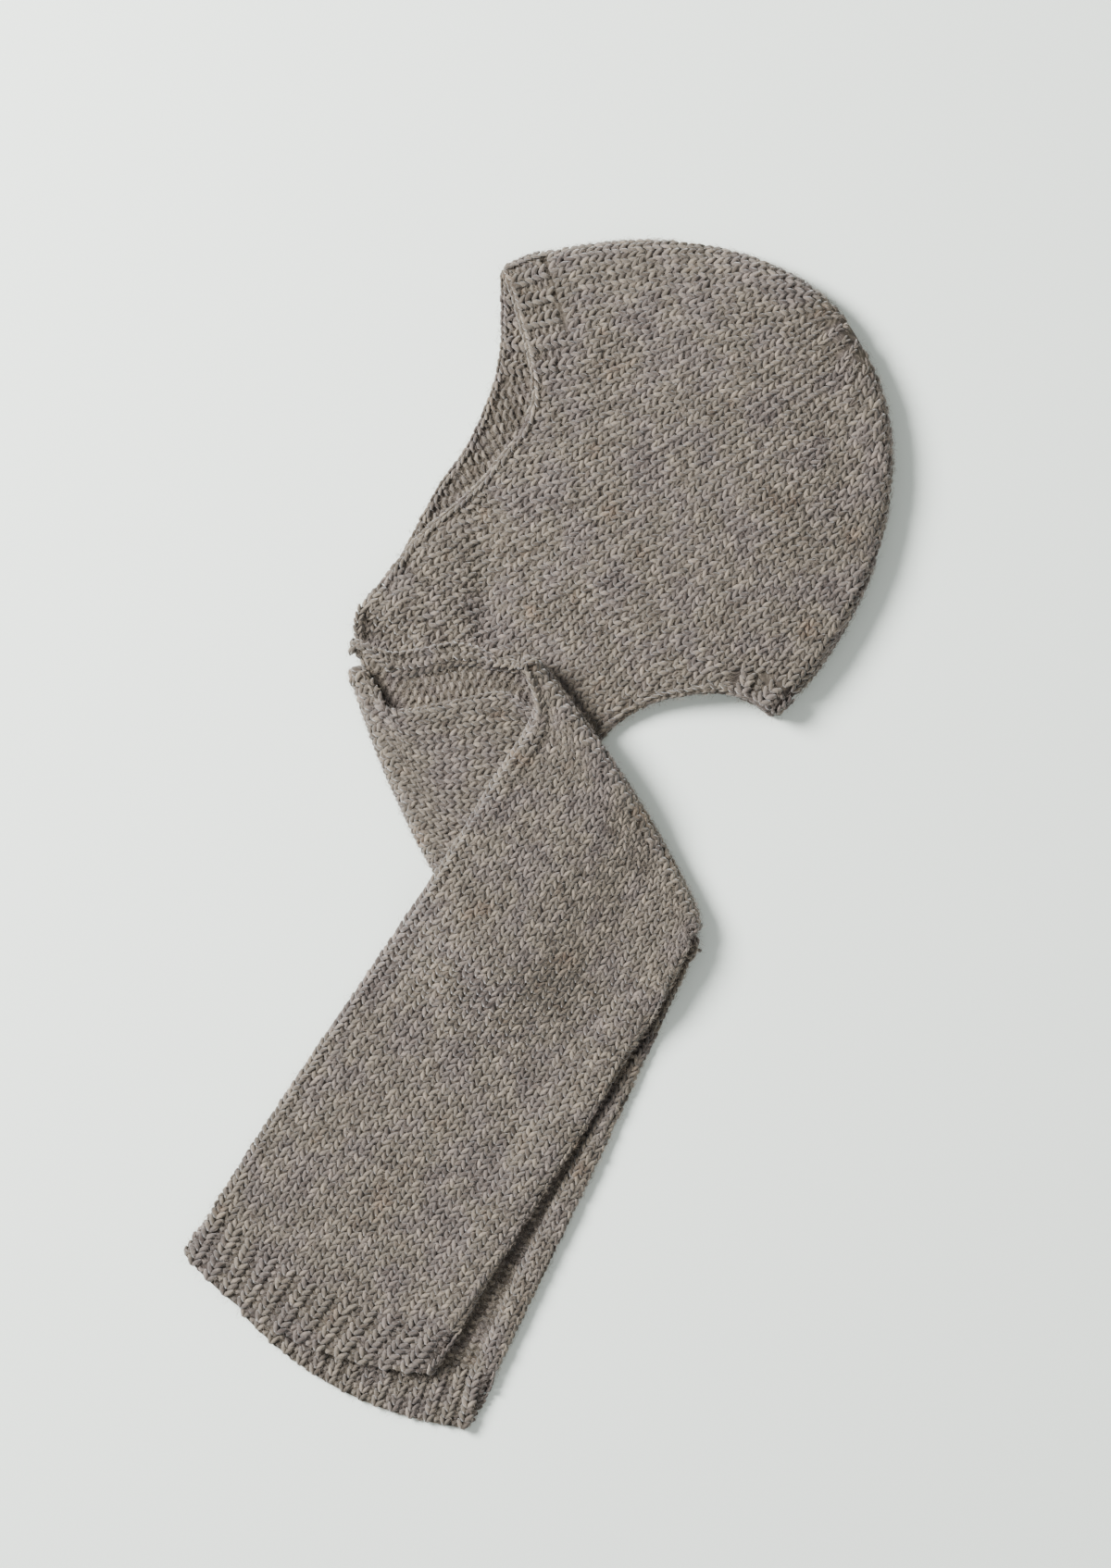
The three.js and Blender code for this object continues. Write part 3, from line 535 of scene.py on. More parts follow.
# The hood's slight unevenness. Columns: wavelength, direction in degrees, height, phase.
RIPPLES = (
    (74.0, 58, 0.55, 0.4),
    (51.0, 112, 0.38, 2.1),
    (93.0, 12, 0.5, 4.4),
    (37.0, 84, 0.22, 1.3),
    (29.0, 31, 0.14, 5.2),
)


def ripple(points):
    """The hood's slight unevenness at each point."""
    total = 0
    for wavelength, direction, height, phase in RIPPLES:
        total = total + height * np.sin(points @ heading(direction) * 2 * math.pi / wavelength + phase)
    return total


def parting(points):
    """0 at the neck, where the hood's two sides lie on each other, and 1 where they have parted."""
    rise = (points - NECK_FRONT) @ TOWARDS_CROWN
    return smoothstep(rise, NECK_FLAT, NECK_FLAT + NECK_RISE)


def half_height(points):
    """Half of the distance between the middles of the hood's two walls."""
    return mix(PITCH / 2, RIM, parting(points))


def hood_wall(points, side):
    """The middle of the hood's wall and the direction out of it. side is 1 above and -1 below."""
    opened = parting(points)
    half = half_height(points)
    inside, outward = to_outline(points)
    cosine = np.clip(1 - inside / half, 0, 1)
    sine = np.sqrt(1 - cosine**2)
    dome = HOOD_PUFF * opened * smoothstep(inside, 0, PUFF_REACH) + neck_swell(points)
    dome = dome + ripple(points) * opened * smoothstep(inside, 2, 30)
    dome = dome + creases(points, HOOD_CREASES + POCKET_CREASES)
    height = HALF + half + side * half * sine + (dome if side > 0 else 0)
    centre = np.column_stack((points, height))
    out = np.column_stack((outward * cosine[:, None], side * sine))
    return centre, unit(out)


def in_from_rim(laid):
    """How far in from the rim a point lies that is a distance along the knit from it."""
    bend = RIM * math.pi / 2
    turned = RIM * (1 - np.cos(np.minimum(laid, bend) / RIM))
    return np.where(laid < bend, turned, laid - bend + RIM)


def rolled_up(points):
    """Points of the knit laid flat, moved to where they lie once it bends round the rim.
    Also says which of them are on the knit at all."""
    half = half_height(points)
    inside, outward = to_outline(points)
    laid = inside + (math.pi / 2 - 1) * half
    turned = half * (1 - np.cos(np.clip(laid / half, 0, math.pi / 2)))
    bent = laid < half * math.pi / 2
    moved = points + outward * np.where(bent, inside - turned, 0)[:, None]
    return moved, laid > 0


def brim(side):
    """One side's free edges along the face and the nape, and the ends of its neck line."""
    face = smooth_path(hood_points(LEFT_FACE_EDGE if side > 0 else RIGHT_FACE_EDGE), FACE_STEPS)
    neck = (LEFT_RUNS if side > 0 else RIGHT_RUNS)["neck"][0]
    nape = smooth_path(np.vstack((hood_points(NECK_EDGE)[::-1], neck["back"])), NAPE_STEPS)
    return {"face": face, "nape": nape, "front": neck["front"], "back": neck["back"]}


BRIMS = {1: brim(1), -1: brim(-1)}


class RibBand:
    """A rib along an edge that leaves the rim: forehead or nape."""

    def __init__(self, side, part):
        self.side = side
        self.forehead = part == "face"
        self.edge = BRIMS[side][part]
        self.table = FOREHEAD_TAPER if self.forehead else NAPE_TAPER
        self.width = FOREHEAD_RIB if self.forehead else NAPE_RIB
        self.reach = self.table[-1][0] * self.edge.length

    def depth(self, stops):
        """How deep the rib is at distances along its edge."""
        return self.width * table_at(self.table, stops / self.edge.length)

    def inward(self, stops):
        """The directions in from the edge."""
        return right_of(self.edge.direction(stops)) * (-1 if self.forehead else 1)

    def place(self, stops, deep):
        """Where a point lies that is a distance along the edge and a depth in from it."""
        stops, deep = np.broadcast_arrays(np.asarray(stops, float), np.asarray(deep, float))
        start = self.edge.at(0.0) + self.inward(np.zeros_like(stops)) * deep[..., None]
        on_rim = OUTLINE.at(deep if self.forehead else OUTLINE.length - deep)
        bend = fade(stops, self.width)[..., None]
        return self.edge.at(stops) + self.inward(stops) * deep[..., None] + (on_rim - start) * bend


RIBS = {(side, part): RibBand(side, part) for side in (1, -1) for part in ("face", "nape")}


def crown_brim(side, margin=0.0):
    """The crown's own brim, as three lines: along the face, the neck line and the nape."""
    parts = {}
    for part in ("face", "nape"):
        rib = RIBS[side, part]
        stops = np.linspace(0, rib.reach, 24)
        beside = rib.place(stops, rib.depth(stops) + margin)
        rest = np.linspace(rib.reach, rib.edge.length, 40)[1:]
        free = rib.edge.at(rest) + rib.inward(rest) * margin
        parts[part] = np.vstack((beside, free))
    ends = BRIMS[side]["front"], BRIMS[side]["back"]
    off = TOWARDS_CROWN * margin
    neck = np.array([mix(*ends, share) + off for share in np.linspace(0, 1, 30)])
    return parts["face"], neck, parts["nape"][::-1]


def inside_polygon(points, corners):
    x, y = points.T
    within = np.zeros(len(points), bool)
    for (x1, y1), (x2, y2) in zip(corners, np.roll(corners, -1, axis=0)):
        if y1 == y2:
            continue
        crosses = (y1 > y) != (y2 > y)
        within ^= crosses & (x < (x2 - x1) * (y - y1) / (y2 - y1) + x1)
    return within


def crown_region(side, margin):
    """The crown's flat shape, with the knit that bends round the rim laid out flat."""
    face, _, nape = crown_brim(side, margin)
    neck = crown_brim(side, 0.6)[1]
    outward = -right_of(OUTLINE.direction(OUTLINE.along))
    spread = (math.pi / 2 - 1) * half_height(OUTLINE.points) + 0.2
    rim = OUTLINE.points + outward * spread[:, None]
    start, end = (FOREHEAD_RIB, OUTLINE.length - NAPE_RIB)
    kept = (OUTLINE.along > start) & (OUTLINE.along < end)
    return np.vstack((face, neck, nape, rim[kept][::-1]))


# Where each stitch of the hood lies

def wale_ends():
    """The distance from the pole at which each wale is decreased away."""
    low, high = WALE_REACH
    count = round((high - low) * WALES_COUNTED**WALE_BEND / WALE)
    left = np.arange(count, 0, -1)
    ends = (left * WALE / (high - low)) ** (1 / WALE_BEND)
    order = np.argsort((np.arange(count) * GOLDEN) % 1)
    vanish = np.empty(count)
    vanish[order] = ends
    return vanish


WALE_ENDS = wale_ends()


def wale_widths(distance):
    """Each wale's share of a full stitch at a distance from the pole: rows are distances."""
    past = (distance[:, None] - WALE_ENDS[None]) / MERGE_REACH
    return smoothstep(past, 0, 1)


def on_field(distance, label):
    """The flat place at a distance from the pole on the wale of a label."""
    ahead = distance.copy()
    for _ in range(40):
        error = ahead**2 + WALE_BEND * label**2 * ahead ** (2 * WALE_BEND) - distance**2
        slope = 2 * ahead + 2 * WALE_BEND**2 * label**2 * ahead ** (2 * WALE_BEND - 1)
        ahead = np.maximum(ahead - error / slope, 1e-3)
    aside = label * ahead**WALE_BEND
    along = np.array((math.cos(WALE_SLOPE), math.sin(WALE_SLOPE)))
    across = np.array((math.sin(WALE_SLOPE), -math.cos(WALE_SLOPE)))
    return POLE - along * ahead[:, None] + across * aside[:, None]


def hood_lattice():
    """Every stitch's flat place on the hood, the places just above and below it, and its width."""
    low, high = WALE_REACH
    distances = np.arange(POLE_BARE, LAST_COURSE, COURSE)

    def places(offset):
        at = distances + offset
        widths = wale_widths(np.maximum(at, 1.0))
        before = np.cumsum(widths, axis=1) - widths / 2
        label = low + (high - low) * before / widths.sum(1, keepdims=True)
        flat_distance = np.repeat(at, len(WALE_ENDS))
        return on_field(np.maximum(flat_distance, 0.5), label.ravel()), widths.ravel()

    here, widths = places(0)
    above, _ = places(-COURSE / 2)
    below, _ = places(COURSE / 2)
    rows, columns = np.meshgrid(np.arange(len(distances)), np.arange(len(WALE_ENDS)), indexing="ij")
    return here, above, below, widths, rows.ravel(), columns.ravel()


# A tail's section and rows

def section(line, samples):
    """The knit face across a tail, from the curl of one edge round to the curl of the other.
    Returns each point's place across, its height on the knit side, and its lift by each edge."""
    width = np.linalg.norm(line["back"] - line["front"])
    ends = []
    for roll in (line["roll_front"], line["roll_back"]):
        half, deep = mix(HALF, ROLL_WIDTH / 2, roll), mix(HALF, ROLL_HEIGHT / 2, roll)
        turn = np.radians(np.linspace(mix(EDGE_TURN, CURL_TURN, roll), 0, 24))
        ends.append((half, deep, half * (1 - np.sin(turn)), HALF - deep + deep * np.cos(turn)))
    (front_half, front_deep, front_x, front_h), (back_half, back_deep, back_x, back_h) = ends
    flat_x = np.linspace(front_half, width - back_half, 40)[1:-1]
    across = np.concatenate((front_x, flat_x, width - back_x[::-1]))
    height = np.concatenate((front_h, np.full(len(flat_x), HALF), back_h[::-1]))
    path = Path(np.column_stack((across, height)))
    at = path.at(np.linspace(0, path.length, samples))
    across, height = at.T
    past_front = fade(np.maximum(across - 2 * front_half, 0), LIFT_REACH)
    past_back = fade(np.maximum(width - across - 2 * back_half, 0), LIFT_REACH)
    lift = {
        "front": (2 * front_deep - WALL) * past_front,
        "back": (2 * back_deep - WALL) * past_back,
    }
    return across / width, height, lift


def purl_section(line, samples):
    """The purl face across a tail, between its curled edges, in the same terms as section."""
    width = np.linalg.norm(line["back"] - line["front"])
    front, back = line["roll_front"], line["roll_back"]
    start = mix(HALF, ROLL_WIDTH - HALF, front)
    end = width - mix(HALF, ROLL_WIDTH - HALF, back)
    across = np.linspace(start, end, samples)
    past_front = fade(np.maximum(across - mix(WALL, ROLL_WIDTH, front), 0), LIFT_REACH)
    past_back = fade(np.maximum(width - across - mix(WALL, ROLL_WIDTH, back), 0), LIFT_REACH)
    lift = {
        "front": (mix(WALL, ROLL_HEIGHT, front) - WALL) * past_front,
        "back": (mix(WALL, ROLL_HEIGHT, back) - WALL) * past_back,
    }
    return across / width, np.full(samples, -HALF), lift


def lift_of(lift, layer):
    """How far the curled edges under a layer lift it."""
    return sum(lift[edge] for edge in layer["lifted"]) if layer["lifted"] else 0


def line_points(line, along):
    """Places on a line across a tail, which bows towards the hem."""
    bend = line["bow"] * 4 * along * (1 - along) * TAIL_WIDTH
    straight = mix(line["front"], line["back"], along[:, None])
    return straight + line["course"] * bend[:, None]


def blend_lines(lines, position):
    """The line across a tail at a position that counts the given lines."""
    before = min(int(position), len(lines) - 2)
    share = position - before
    first, second = lines[before], lines[before + 1]
    blended = {key: mix(first[key], second[key], share) for key in ("roll_front", "roll_back", "bow")}
    for key in ("front", "back"):
        blended[key] = on_spline([line[key] for line in lines], [position])[0]
    blended["course"] = unit(mix(first["course"], second["course"], share))
    return blended


def edge_ridge(line, along):
    """The soft ridge along the front edge where the upper tail bends up and over."""
    away = along * np.linalg.norm(line["back"] - line["front"])
    down = np.linalg.norm(line["front"] - LEFT_RUNS["fall"][0]["front"])
    height = EDGE_RIDGE * fade(max(down - RIDGE_LENGTH / 3, 0), RIDGE_LENGTH)
    return height * fade(np.abs(away - RIDGE_REACH / 2), RIDGE_REACH / 2 + 1)


def moved(line, amount):
    """A line across a tail, moved."""
    return {**line, "front": line["front"] + amount, "back": line["back"] + amount}


def flat_row(line, layer, cells):
    """One row of a face where the tail lies flat. cells is the section there."""
    along, height, lift = cells
    points = line_points(line, along)
    up = 1 if layer["knit_up"] else -1
    z = layer_height(layer, points) + lift_of(lift, layer) + up * height
    if layer.get("ridged"):
        z = z + edge_ridge(line, along)
    return np.column_stack((points, z))


def fold_row(line, lower, upper, outward, turn, cells):
    """One row of a face where the tail turns over, from the lower layer up to the upper one."""
    along, height, lift = cells
    side = -1 if lower["knit_up"] else 1
    apex = line_points(line, along)
    bottom = layer_height(lower, apex) + lift_of(lift, lower)
    top = layer_height(upper, apex) + lift_of(lift, upper)
    radius = ((top - bottom) / 2)[:, None]
    out3 = np.append(outward, 0)
    radial = out3 * math.sin(turn) - UP * math.cos(turn)
    centre = np.column_stack((apex, (top + bottom) / 2)) - out3 * radius
    if upper.get("ridged"):
        centre[:, 2] += edge_ridge(line, along) * (1 - math.cos(turn)) / 2
    return centre + radial * np.maximum(radius + side * height[:, None], TIGHTEST)


def tail_rows(runs, layers, cells_of):
    """The rows of one face of a tail and its hem, close together, from the neck line down."""
    rows = []

    def add_flat(lines, layer, start, stop, count):
        for position in np.linspace(start, stop, count):
            line = blend_lines(lines, position)
            rows.append(flat_row(line, layer, cells_of(line)))

    def fold(line, lower, upper, outward):
        for turn in np.linspace(0, math.pi, FOLD_ROWS):
            rows.append(fold_row(line, lower, upper, outward, turn, cells_of(line)))

    def out_of(line, sign):
        return right_of(unit(line["back"] - line["front"])) * sign

    neck, crossing, fall = (layers[run] for run in ("neck", "crossing", "fall"))
    first_out = out_of(runs["neck"][-1], 1)
    second_out = out_of(runs["crossing"][-1], -1)
    first_radius = (crossing["level"] - neck["level"]) * PITCH / 2
    second_radius = (fall["level"] - crossing["level"]) * PITCH / 2
    first_in = -first_out * first_radius
    second_in = -second_out * second_radius

    neck_lines = [*runs["neck"][:-1], moved(runs["neck"][-1], first_in)]
    last = len(neck_lines) - 1
    add_flat(neck_lines, neck, 0, last - BEFORE_FIRST_FOLD, NECK_ROWS)
    fold(runs["neck"][-1], neck, crossing, first_out)
    middle = runs["crossing"]
    crossing_lines = [moved(middle[0], first_in), *middle[1:-1], moved(middle[-1], second_in)]
    last = len(crossing_lines) - 1
    add_flat(crossing_lines, crossing, AFTER_FOLD, last - BEFORE_SECOND_FOLD, CROSSING_ROWS)
    fold(middle[-1], crossing, fall, second_out)
    fall_lines = [moved(runs["fall"][0], second_in), *runs["fall"][1:]]
    last = len(fall_lines) - 1
    add_flat(fall_lines, fall, AFTER_FOLD, last, FALL_ROWS)
    seam = runs["fall"][-1]
    for down in np.linspace(0, HEM_LENGTH, HEM_ROWS)[1:]:
        line = moved(seam, seam["course"] * down)
        uncurl = 1 - 0.5 * down / HEM_LENGTH
        line["roll_front"] = seam["roll_front"] * uncurl
        line["roll_back"] = seam["roll_back"] * uncurl
        rows.append(flat_row(line, fall, cells_of(line)))
    return np.array(rows)


def rounded_corners(rows, side_name, runs):
    """The same rows with the ends of the folds drawn in to rounded corners."""
    for run, end, draw, reach in CORNERS[side_name]:
        line = runs[run][-1]
        other = "back" if end == "front" else "front"
        along = unit(line[other] - line[end])
        sign = 1 if run == "neck" else -1
        outward = right_of(unit(line["back"] - line["front"])) * sign
        flat = rows[..., :2] - line[end]
        beside = np.clip(1 - flat @ along / reach, 0, CORNER_MOST) ** 2
        near = beside * smoothstep(flat @ outward, *(share * reach for share in CORNER_FADE))
        rows[..., :2] -= near[..., None] * draw * outward
    return rows


def along_wales(rows, count):
    """Rows spaced evenly along every wale, so that each new row is a course of the knit."""
    steps = np.linalg.norm(np.diff(rows, axis=0), axis=2)
    along = np.vstack((np.zeros(rows.shape[1]), np.cumsum(steps, axis=0)))
    along = along / along[-1]
    at = np.linspace(0, 1, count)
    even = np.empty((count, rows.shape[1], 3))
    for column in range(rows.shape[1]):
        for axis in range(3):
            even[:, column, axis] = np.interp(at, along[:, column], rows[:, column, axis])
    return even


# Each tail's layers: their level in the stack, which face is up, and which of their edges lie on a
# curled one. The upper tail's fall is ridged where it bends up and over.
LEFT_LAYERS = {
    "neck": {"run": "neck", "level": 1, "knit_up": True, "lifted": ("front",)},
    "crossing": {"run": "crossing", "level": 2, "knit_up": False, "lifted": ()},
    "fall": {"run": "fall", "level": 5, "knit_up": True, "lifted": ("back",), "ridged": True},
}
RIGHT_LAYERS = {
    "neck": {"run": "neck", "level": 0, "knit_up": False, "lifted": ()},
    "crossing": {"run": "crossing", "level": 3, "knit_up": True, "lifted": ("front",)},
    "fall": {"run": "fall", "level": 4, "knit_up": False, "lifted": ()},
}
TAILS = {"left": (LEFT_RUNS, LEFT_LAYERS), "right": (RIGHT_RUNS, RIGHT_LAYERS)}
TAIL_WALES = 28
TAIL_COURSES = 134
HEM_COURSES = 8
SEAM_COURSE = TAIL_COURSES - HEM_COURSES
FINE = 2  # rows and columns of a tail's wall to each stitch

# Which part of each tail's purl face shows. Columns: courses, wales.
PURL_SHOWS = {"left": ((6, 46), (0, TAIL_WALES)), "right": ((6, SEAM_COURSE), (0, 13))}


# Meshes

def place_in_frame():
    """How far the hood's lower left corner is from the frame's origin, in metres."""
    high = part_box("crown")[1]
    return np.array((high[0] - HOOD_WIDTH / 1000, high[1] - HOOD_HEIGHT / 1000, 0.0))


CORNER = place_in_frame()


def to_frame(points):
    """Millimetres from the hood's corner, as metres in the frame."""
    return points / 1000 + CORNER


def new_object(name, mesh, material):
    """A finished piece, which rides on the part's body and has its material slot."""
    piece = bpy.data.objects.new(name, mesh)
    bpy.context.scene.collection.objects.link(piece)
    mesh.materials.append(material)
    mesh.polygons.foreach_set("use_smooth", np.ones(len(mesh.polygons), bool))
    mesh.update()
    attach(piece, "root")
    return piece


def bake_map(mesh, spots):
    """The UV map named OFBake, laid out as the knit is."""
    spots = np.clip(spots, 0.001, 0.999)
    layer = mesh.uv_layers.new(name="OFBake")
    layer.uv.foreach_set("vector", spots.astype(np.float32).ravel())


def cloth(name, grid, material, gauge):
    """A cloth mesh from a grid of points in millimetres. gauge gives its stitches across and down."""
    rows, columns = grid.shape[:2]
    mesh = bpy.data.meshes.new(name)
    made = bmesh.new()
    bmesh.ops.create_grid(made, x_segments=columns - 1, y_segments=rows - 1, size=1)
    made.to_mesh(mesh)
    made.free()
    flat = np.zeros(len(mesh.vertices) * 3)
    mesh.vertices.foreach_get("co", flat)
    share = (flat.reshape(-1, 3)[:, :2] + 1) / 2
    column = np.rint(share[:, 0] * (columns - 1)).astype(int)
    row = np.rint(share[:, 1] * (rows - 1)).astype(int)
    mesh.vertices.foreach_set("co", to_frame(grid[row, column]).ravel())
    corner = np.zeros(len(mesh.loops), int)
    mesh.loops.foreach_get("vertex_index", corner)
    stitches = mesh.uv_layers.new(name="stitches")
    stitches.uv.foreach_set("vector", (share[corner] * gauge).astype(np.float32).ravel())
    bake_map(mesh, share[corner])
    joined = bmesh.new()
    joined.from_mesh(mesh)
    bmesh.ops.remove_doubles(joined, verts=joined.verts[:], dist=2e-6)
    bmesh.ops.recalc_face_normals(joined, faces=joined.faces[:])
    joined.to_mesh(mesh)
    joined.free()
    WALLS.append(mesh)
    piece = new_object(name, mesh, material)
    mesh.set_sharp_from_angle(angle=math.radians(50))
    return piece


def from_lowest(corners):
    """A face's corners from the lowest one on. A quad keeps the diagonal that it is split along,
    so it starts at the lower end of that."""
    step = 2 if len(corners) == 4 else 1
    start = min(range(0, len(corners), step), key=lambda place: corners[place])
    return corners[start:] + corners[:start]


def loop_template(round_steps, long_steps, legs):
    """A knit or purl loop: spindles of yarn, bent along their middle lines.
    Each leg is (places along its middle line, its thickness). A place is across, along, up."""
    parts = []
    for number, (line, thick) in enumerate(legs):
        made = bmesh.new()
        bmesh.ops.create_uvsphere(made, u_segments=round_steps, v_segments=long_steps, radius=1)
        line = np.array(line, float)
        for vertex in made.verts:
            x, y, z = vertex.co
            position = (z + 1) / 2 * (len(line) - 1)
            middle = on_spline(line, [position])[0]
            nearby = np.clip((position + 0.1, position - 0.1), 0, len(line) - 1)
            ahead, behind = on_spline(line, nearby)
            run = unit((ahead - behind) * (WALE, COURSE, 1))
            aside = unit(np.cross(run, UP))
            offset = (aside * x * thick[0] + np.cross(aside, run) * y * thick[1]) / (WALE, COURSE, 1)
            vertex.co = middle + offset
        made.normal_update()
        if made.calc_volume(signed=True) < 0:
            bmesh.ops.reverse_faces(made, faces=made.faces[:])
        made.verts.index_update()
        places = np.array([vertex.co for vertex in made.verts])
        # The sphere's faces come in another order from run to run, so they are sorted.
        faces = sorted(from_lowest([vertex.index for vertex in face.verts]) for face in made.faces)
        made.free()
        parts.append((places, faces, number))
    places = np.vstack([part[0] for part in parts])
    starts = np.cumsum([0] + [len(part[0]) for part in parts[:-1]])
    faces = [
        [index + start for index in face]
        for part, start in zip(parts, starts)
        for face in part[1]
    ]
    leg = np.concatenate([np.full(len(part[0]), part[2]) for part in parts])
    return {"places": places, "faces": faces, "leg": leg, "legs": len(legs)}


def v_leg(side):
    """One leg of a knit loop's V."""
    middle_line = (
        (side * -0.03, -0.66, -0.8),
        (side * 0.12, -0.33, 0.1),
        (side * 0.26, 0.0, 0.3),
        (side * 0.40, 0.33, 0.1),
        (side * 0.53, 0.66, -0.9),
    )
    return middle_line, (1.2, 0.95)


def purl_arc():
    """The bump that a loop shows on the purl side."""
    middle_line = (
        (-0.44, 0.24, -0.7),
        (-0.24, 0.0, 0.1),
        (0.0, -0.1, 0.35),
        (0.24, 0.0, 0.1),
        (0.44, 0.24, -0.7),
    )
    return middle_line, (1.15, 0.95)


KNIT_LOOP = loop_template(5, 4, (v_leg(-1), v_leg(1)))
PURL_LOOP = loop_template(5, 4, (purl_arc(),))

WALLS = []  # the walls' meshes, which hide the loops between them


def in_sight(centre, up_wale, out):
    """Which loops could be seen from some side, with all the walls in place."""
    tree = wall_tree()
    out = unit(out)
    along = unit(up_wale)
    across = np.cross(along, out)
    seen = np.zeros(len(centre), bool)
    for lean_across, lean_along in LEANS:
        rays = unit(out + across * lean_across + along * lean_along)
        starts = to_frame(centre + out * 0.5)
        for index in np.flatnonzero(~seen):
            seen[index] = tree.ray_cast(starts[index], rays[index], SIGHT / 1000)[0] is None
    return seen


def on_wall(centre):
    """Which loops lie close to a wall."""
    tree = wall_tree()
    away = [tree.find_nearest(place)[3] for place in to_frame(centre)]
    return np.array(away) < OFF_WALL / 1000


@functools.cache
def wall_tree():
    """All the walls' faces, for finding what lies near a loop. First asked for once all are made."""
    points, faces = [], []
    for mesh in WALLS:
        start = len(points)
        points.extend(vertex.co[:] for vertex in mesh.vertices)
        faces.extend([start + index for index in face.vertices] for face in mesh.polygons)
    return BVHTree.FromPolygons(points, faces)


def mesh_of(name, points, corners, sizes):
    """A mesh from points in millimetres, the point at each corner, and each face's corner count."""
    mesh = bpy.data.meshes.new(name)
    mesh.vertices.add(len(points))
    mesh.vertices.foreach_set("co", to_frame(points).ravel())
    mesh.loops.add(len(corners))
    mesh.loops.foreach_set("vertex_index", corners)
    mesh.polygons.add(len(sizes))
    mesh.polygons.foreach_set("loop_start", np.cumsum(sizes) - sizes)
    mesh.update(calc_edges=True)
    return mesh


class Stitches:
    """Places for loops of yarn, gathered over one or more stretches of knit."""

    def __init__(self, seed):
        self.random = np.random.default_rng(seed)
        self.sets = []

    def add(self, centre, up_wale, out, width, height, sink, spots, template=KNIT_LOOP, culled=False):
        """centre and directions are rows of vectors; width, height and sink are in millimetres.
        spots are the places on the bake map and a stitch's size there.
        culled leaves out the loops that other layers cover."""
        least, most = (limit * WALE for limit in WIDTH_LIMITS)
        width = np.clip(np.broadcast_to(width, len(centre)), least, most)
        height = np.broadcast_to(height, len(centre))
        least, most = (limit * COURSE for limit in HEIGHT_LIMITS)
        whole = (height > least) & (height < most)
        places, spot_size = spots
        kept = [each[whole] for each in (centre, up_wale, out, width, height, places)]
        if culled:
            seen = in_sight(*kept[:3])
            kept = [each[seen] for each in kept]
        centre, up_wale, out, width, height, places = kept
        count = len(centre)
        if not count:
            return
        GATHERED.append((centre, out, up_wale))
        turn = self.random.normal(0, LOOP_TURN, count)
        out = unit(out)
        along = unit(up_wale - out * (up_wale * out).sum(1, keepdims=True))
        across = np.cross(along, out)
        cosine, sine = np.cos(turn)[:, None], np.sin(turn)[:, None]
        along, across = along * cosine + across * sine, across * cosine - along * sine
        grow = self.random.normal(1, LOOP_SIZE, (2, count))
        shift = self.random.normal(0, LOOP_SHIFT, (2, count)) * WALE
        centre = centre + across * shift[0][:, None] + along * shift[1][:, None]
        centre = centre - out * (sink + self.random.normal(0, LOOP_DEPTH, count))[:, None]
        centre[:, 2] = np.maximum(centre[:, 2], LEAST_HEIGHT)
        shade = self.random.random((count, template["legs"]))
        axes = (
            across * (width * grow[0])[:, None],
            along * (height * grow[1])[:, None],
            out,
        )
        self.sets.append({
            "centre": centre,
            "axes": axes,
            "shade": shade,
            "spots": (places, spot_size),
            "template": template,
        })

    def piece(self, name, material, slot):
        """Every loop gathered here, joined in one mesh."""
        points, sizes, corners, shades, spots = [], [], [], [], []
        start = 0
        for group in self.sets:
            template = group["template"]
            places = template["places"]
            moved_points = group["centre"][:, None]
            for axis, vectors in enumerate(group["axes"]):
                moved_points = moved_points + places[None, :, axis, None] * vectors[:, None]
            count = len(group["centre"])
            offsets = start + np.arange(count) * len(places)
            flat = np.array([index for face in template["faces"] for index in face])
            corners.append((offsets[:, None] + flat[None]).ravel())
            sizes.append(np.tile([len(face) for face in template["faces"]], count))
            moved_points[..., 2] = np.maximum(moved_points[..., 2], 0.05)
            points.append(moved_points.reshape(-1, 3))
            shades.append(group["shade"][:, template["leg"]].ravel())
            spread = places[None, :, :2] * (0.9, 0.55) * group["spots"][1]
            spots.append((group["spots"][0][:, None] + spread).reshape(-1, 2))
            start += count * len(places)
        points, corners, sizes = (np.concatenate(parts) for parts in (points, corners, sizes))
        mesh = mesh_of(name, points, corners, sizes)
        shade = mesh.attributes.new("shade", "FLOAT", "POINT")
        shade.data.foreach_set("value", np.concatenate(shades).astype(np.float32))
        bake_map(mesh, np.concatenate(spots)[corners])
        return new_object(name, mesh, material)


# Shader nodes

class Socket:
    """A node's output, with the arithmetic that materials here need."""

    def __init__(self, graph, output):
        self.graph = graph
        self.output = output

    def maths(self, operation, a, b):
        return self.graph.node("ShaderNodeMath", {"operation": operation}, {0: a, 1: b})

    def __add__(self, other):
        return self.maths("ADD", self, other)

    def __radd__(self, other):
        return self.maths("ADD", other, self)

    def __mul__(self, other):
        return self.maths("MULTIPLY", self, other)

    def __rmul__(self, other):
        return self.maths("MULTIPLY", other, self)


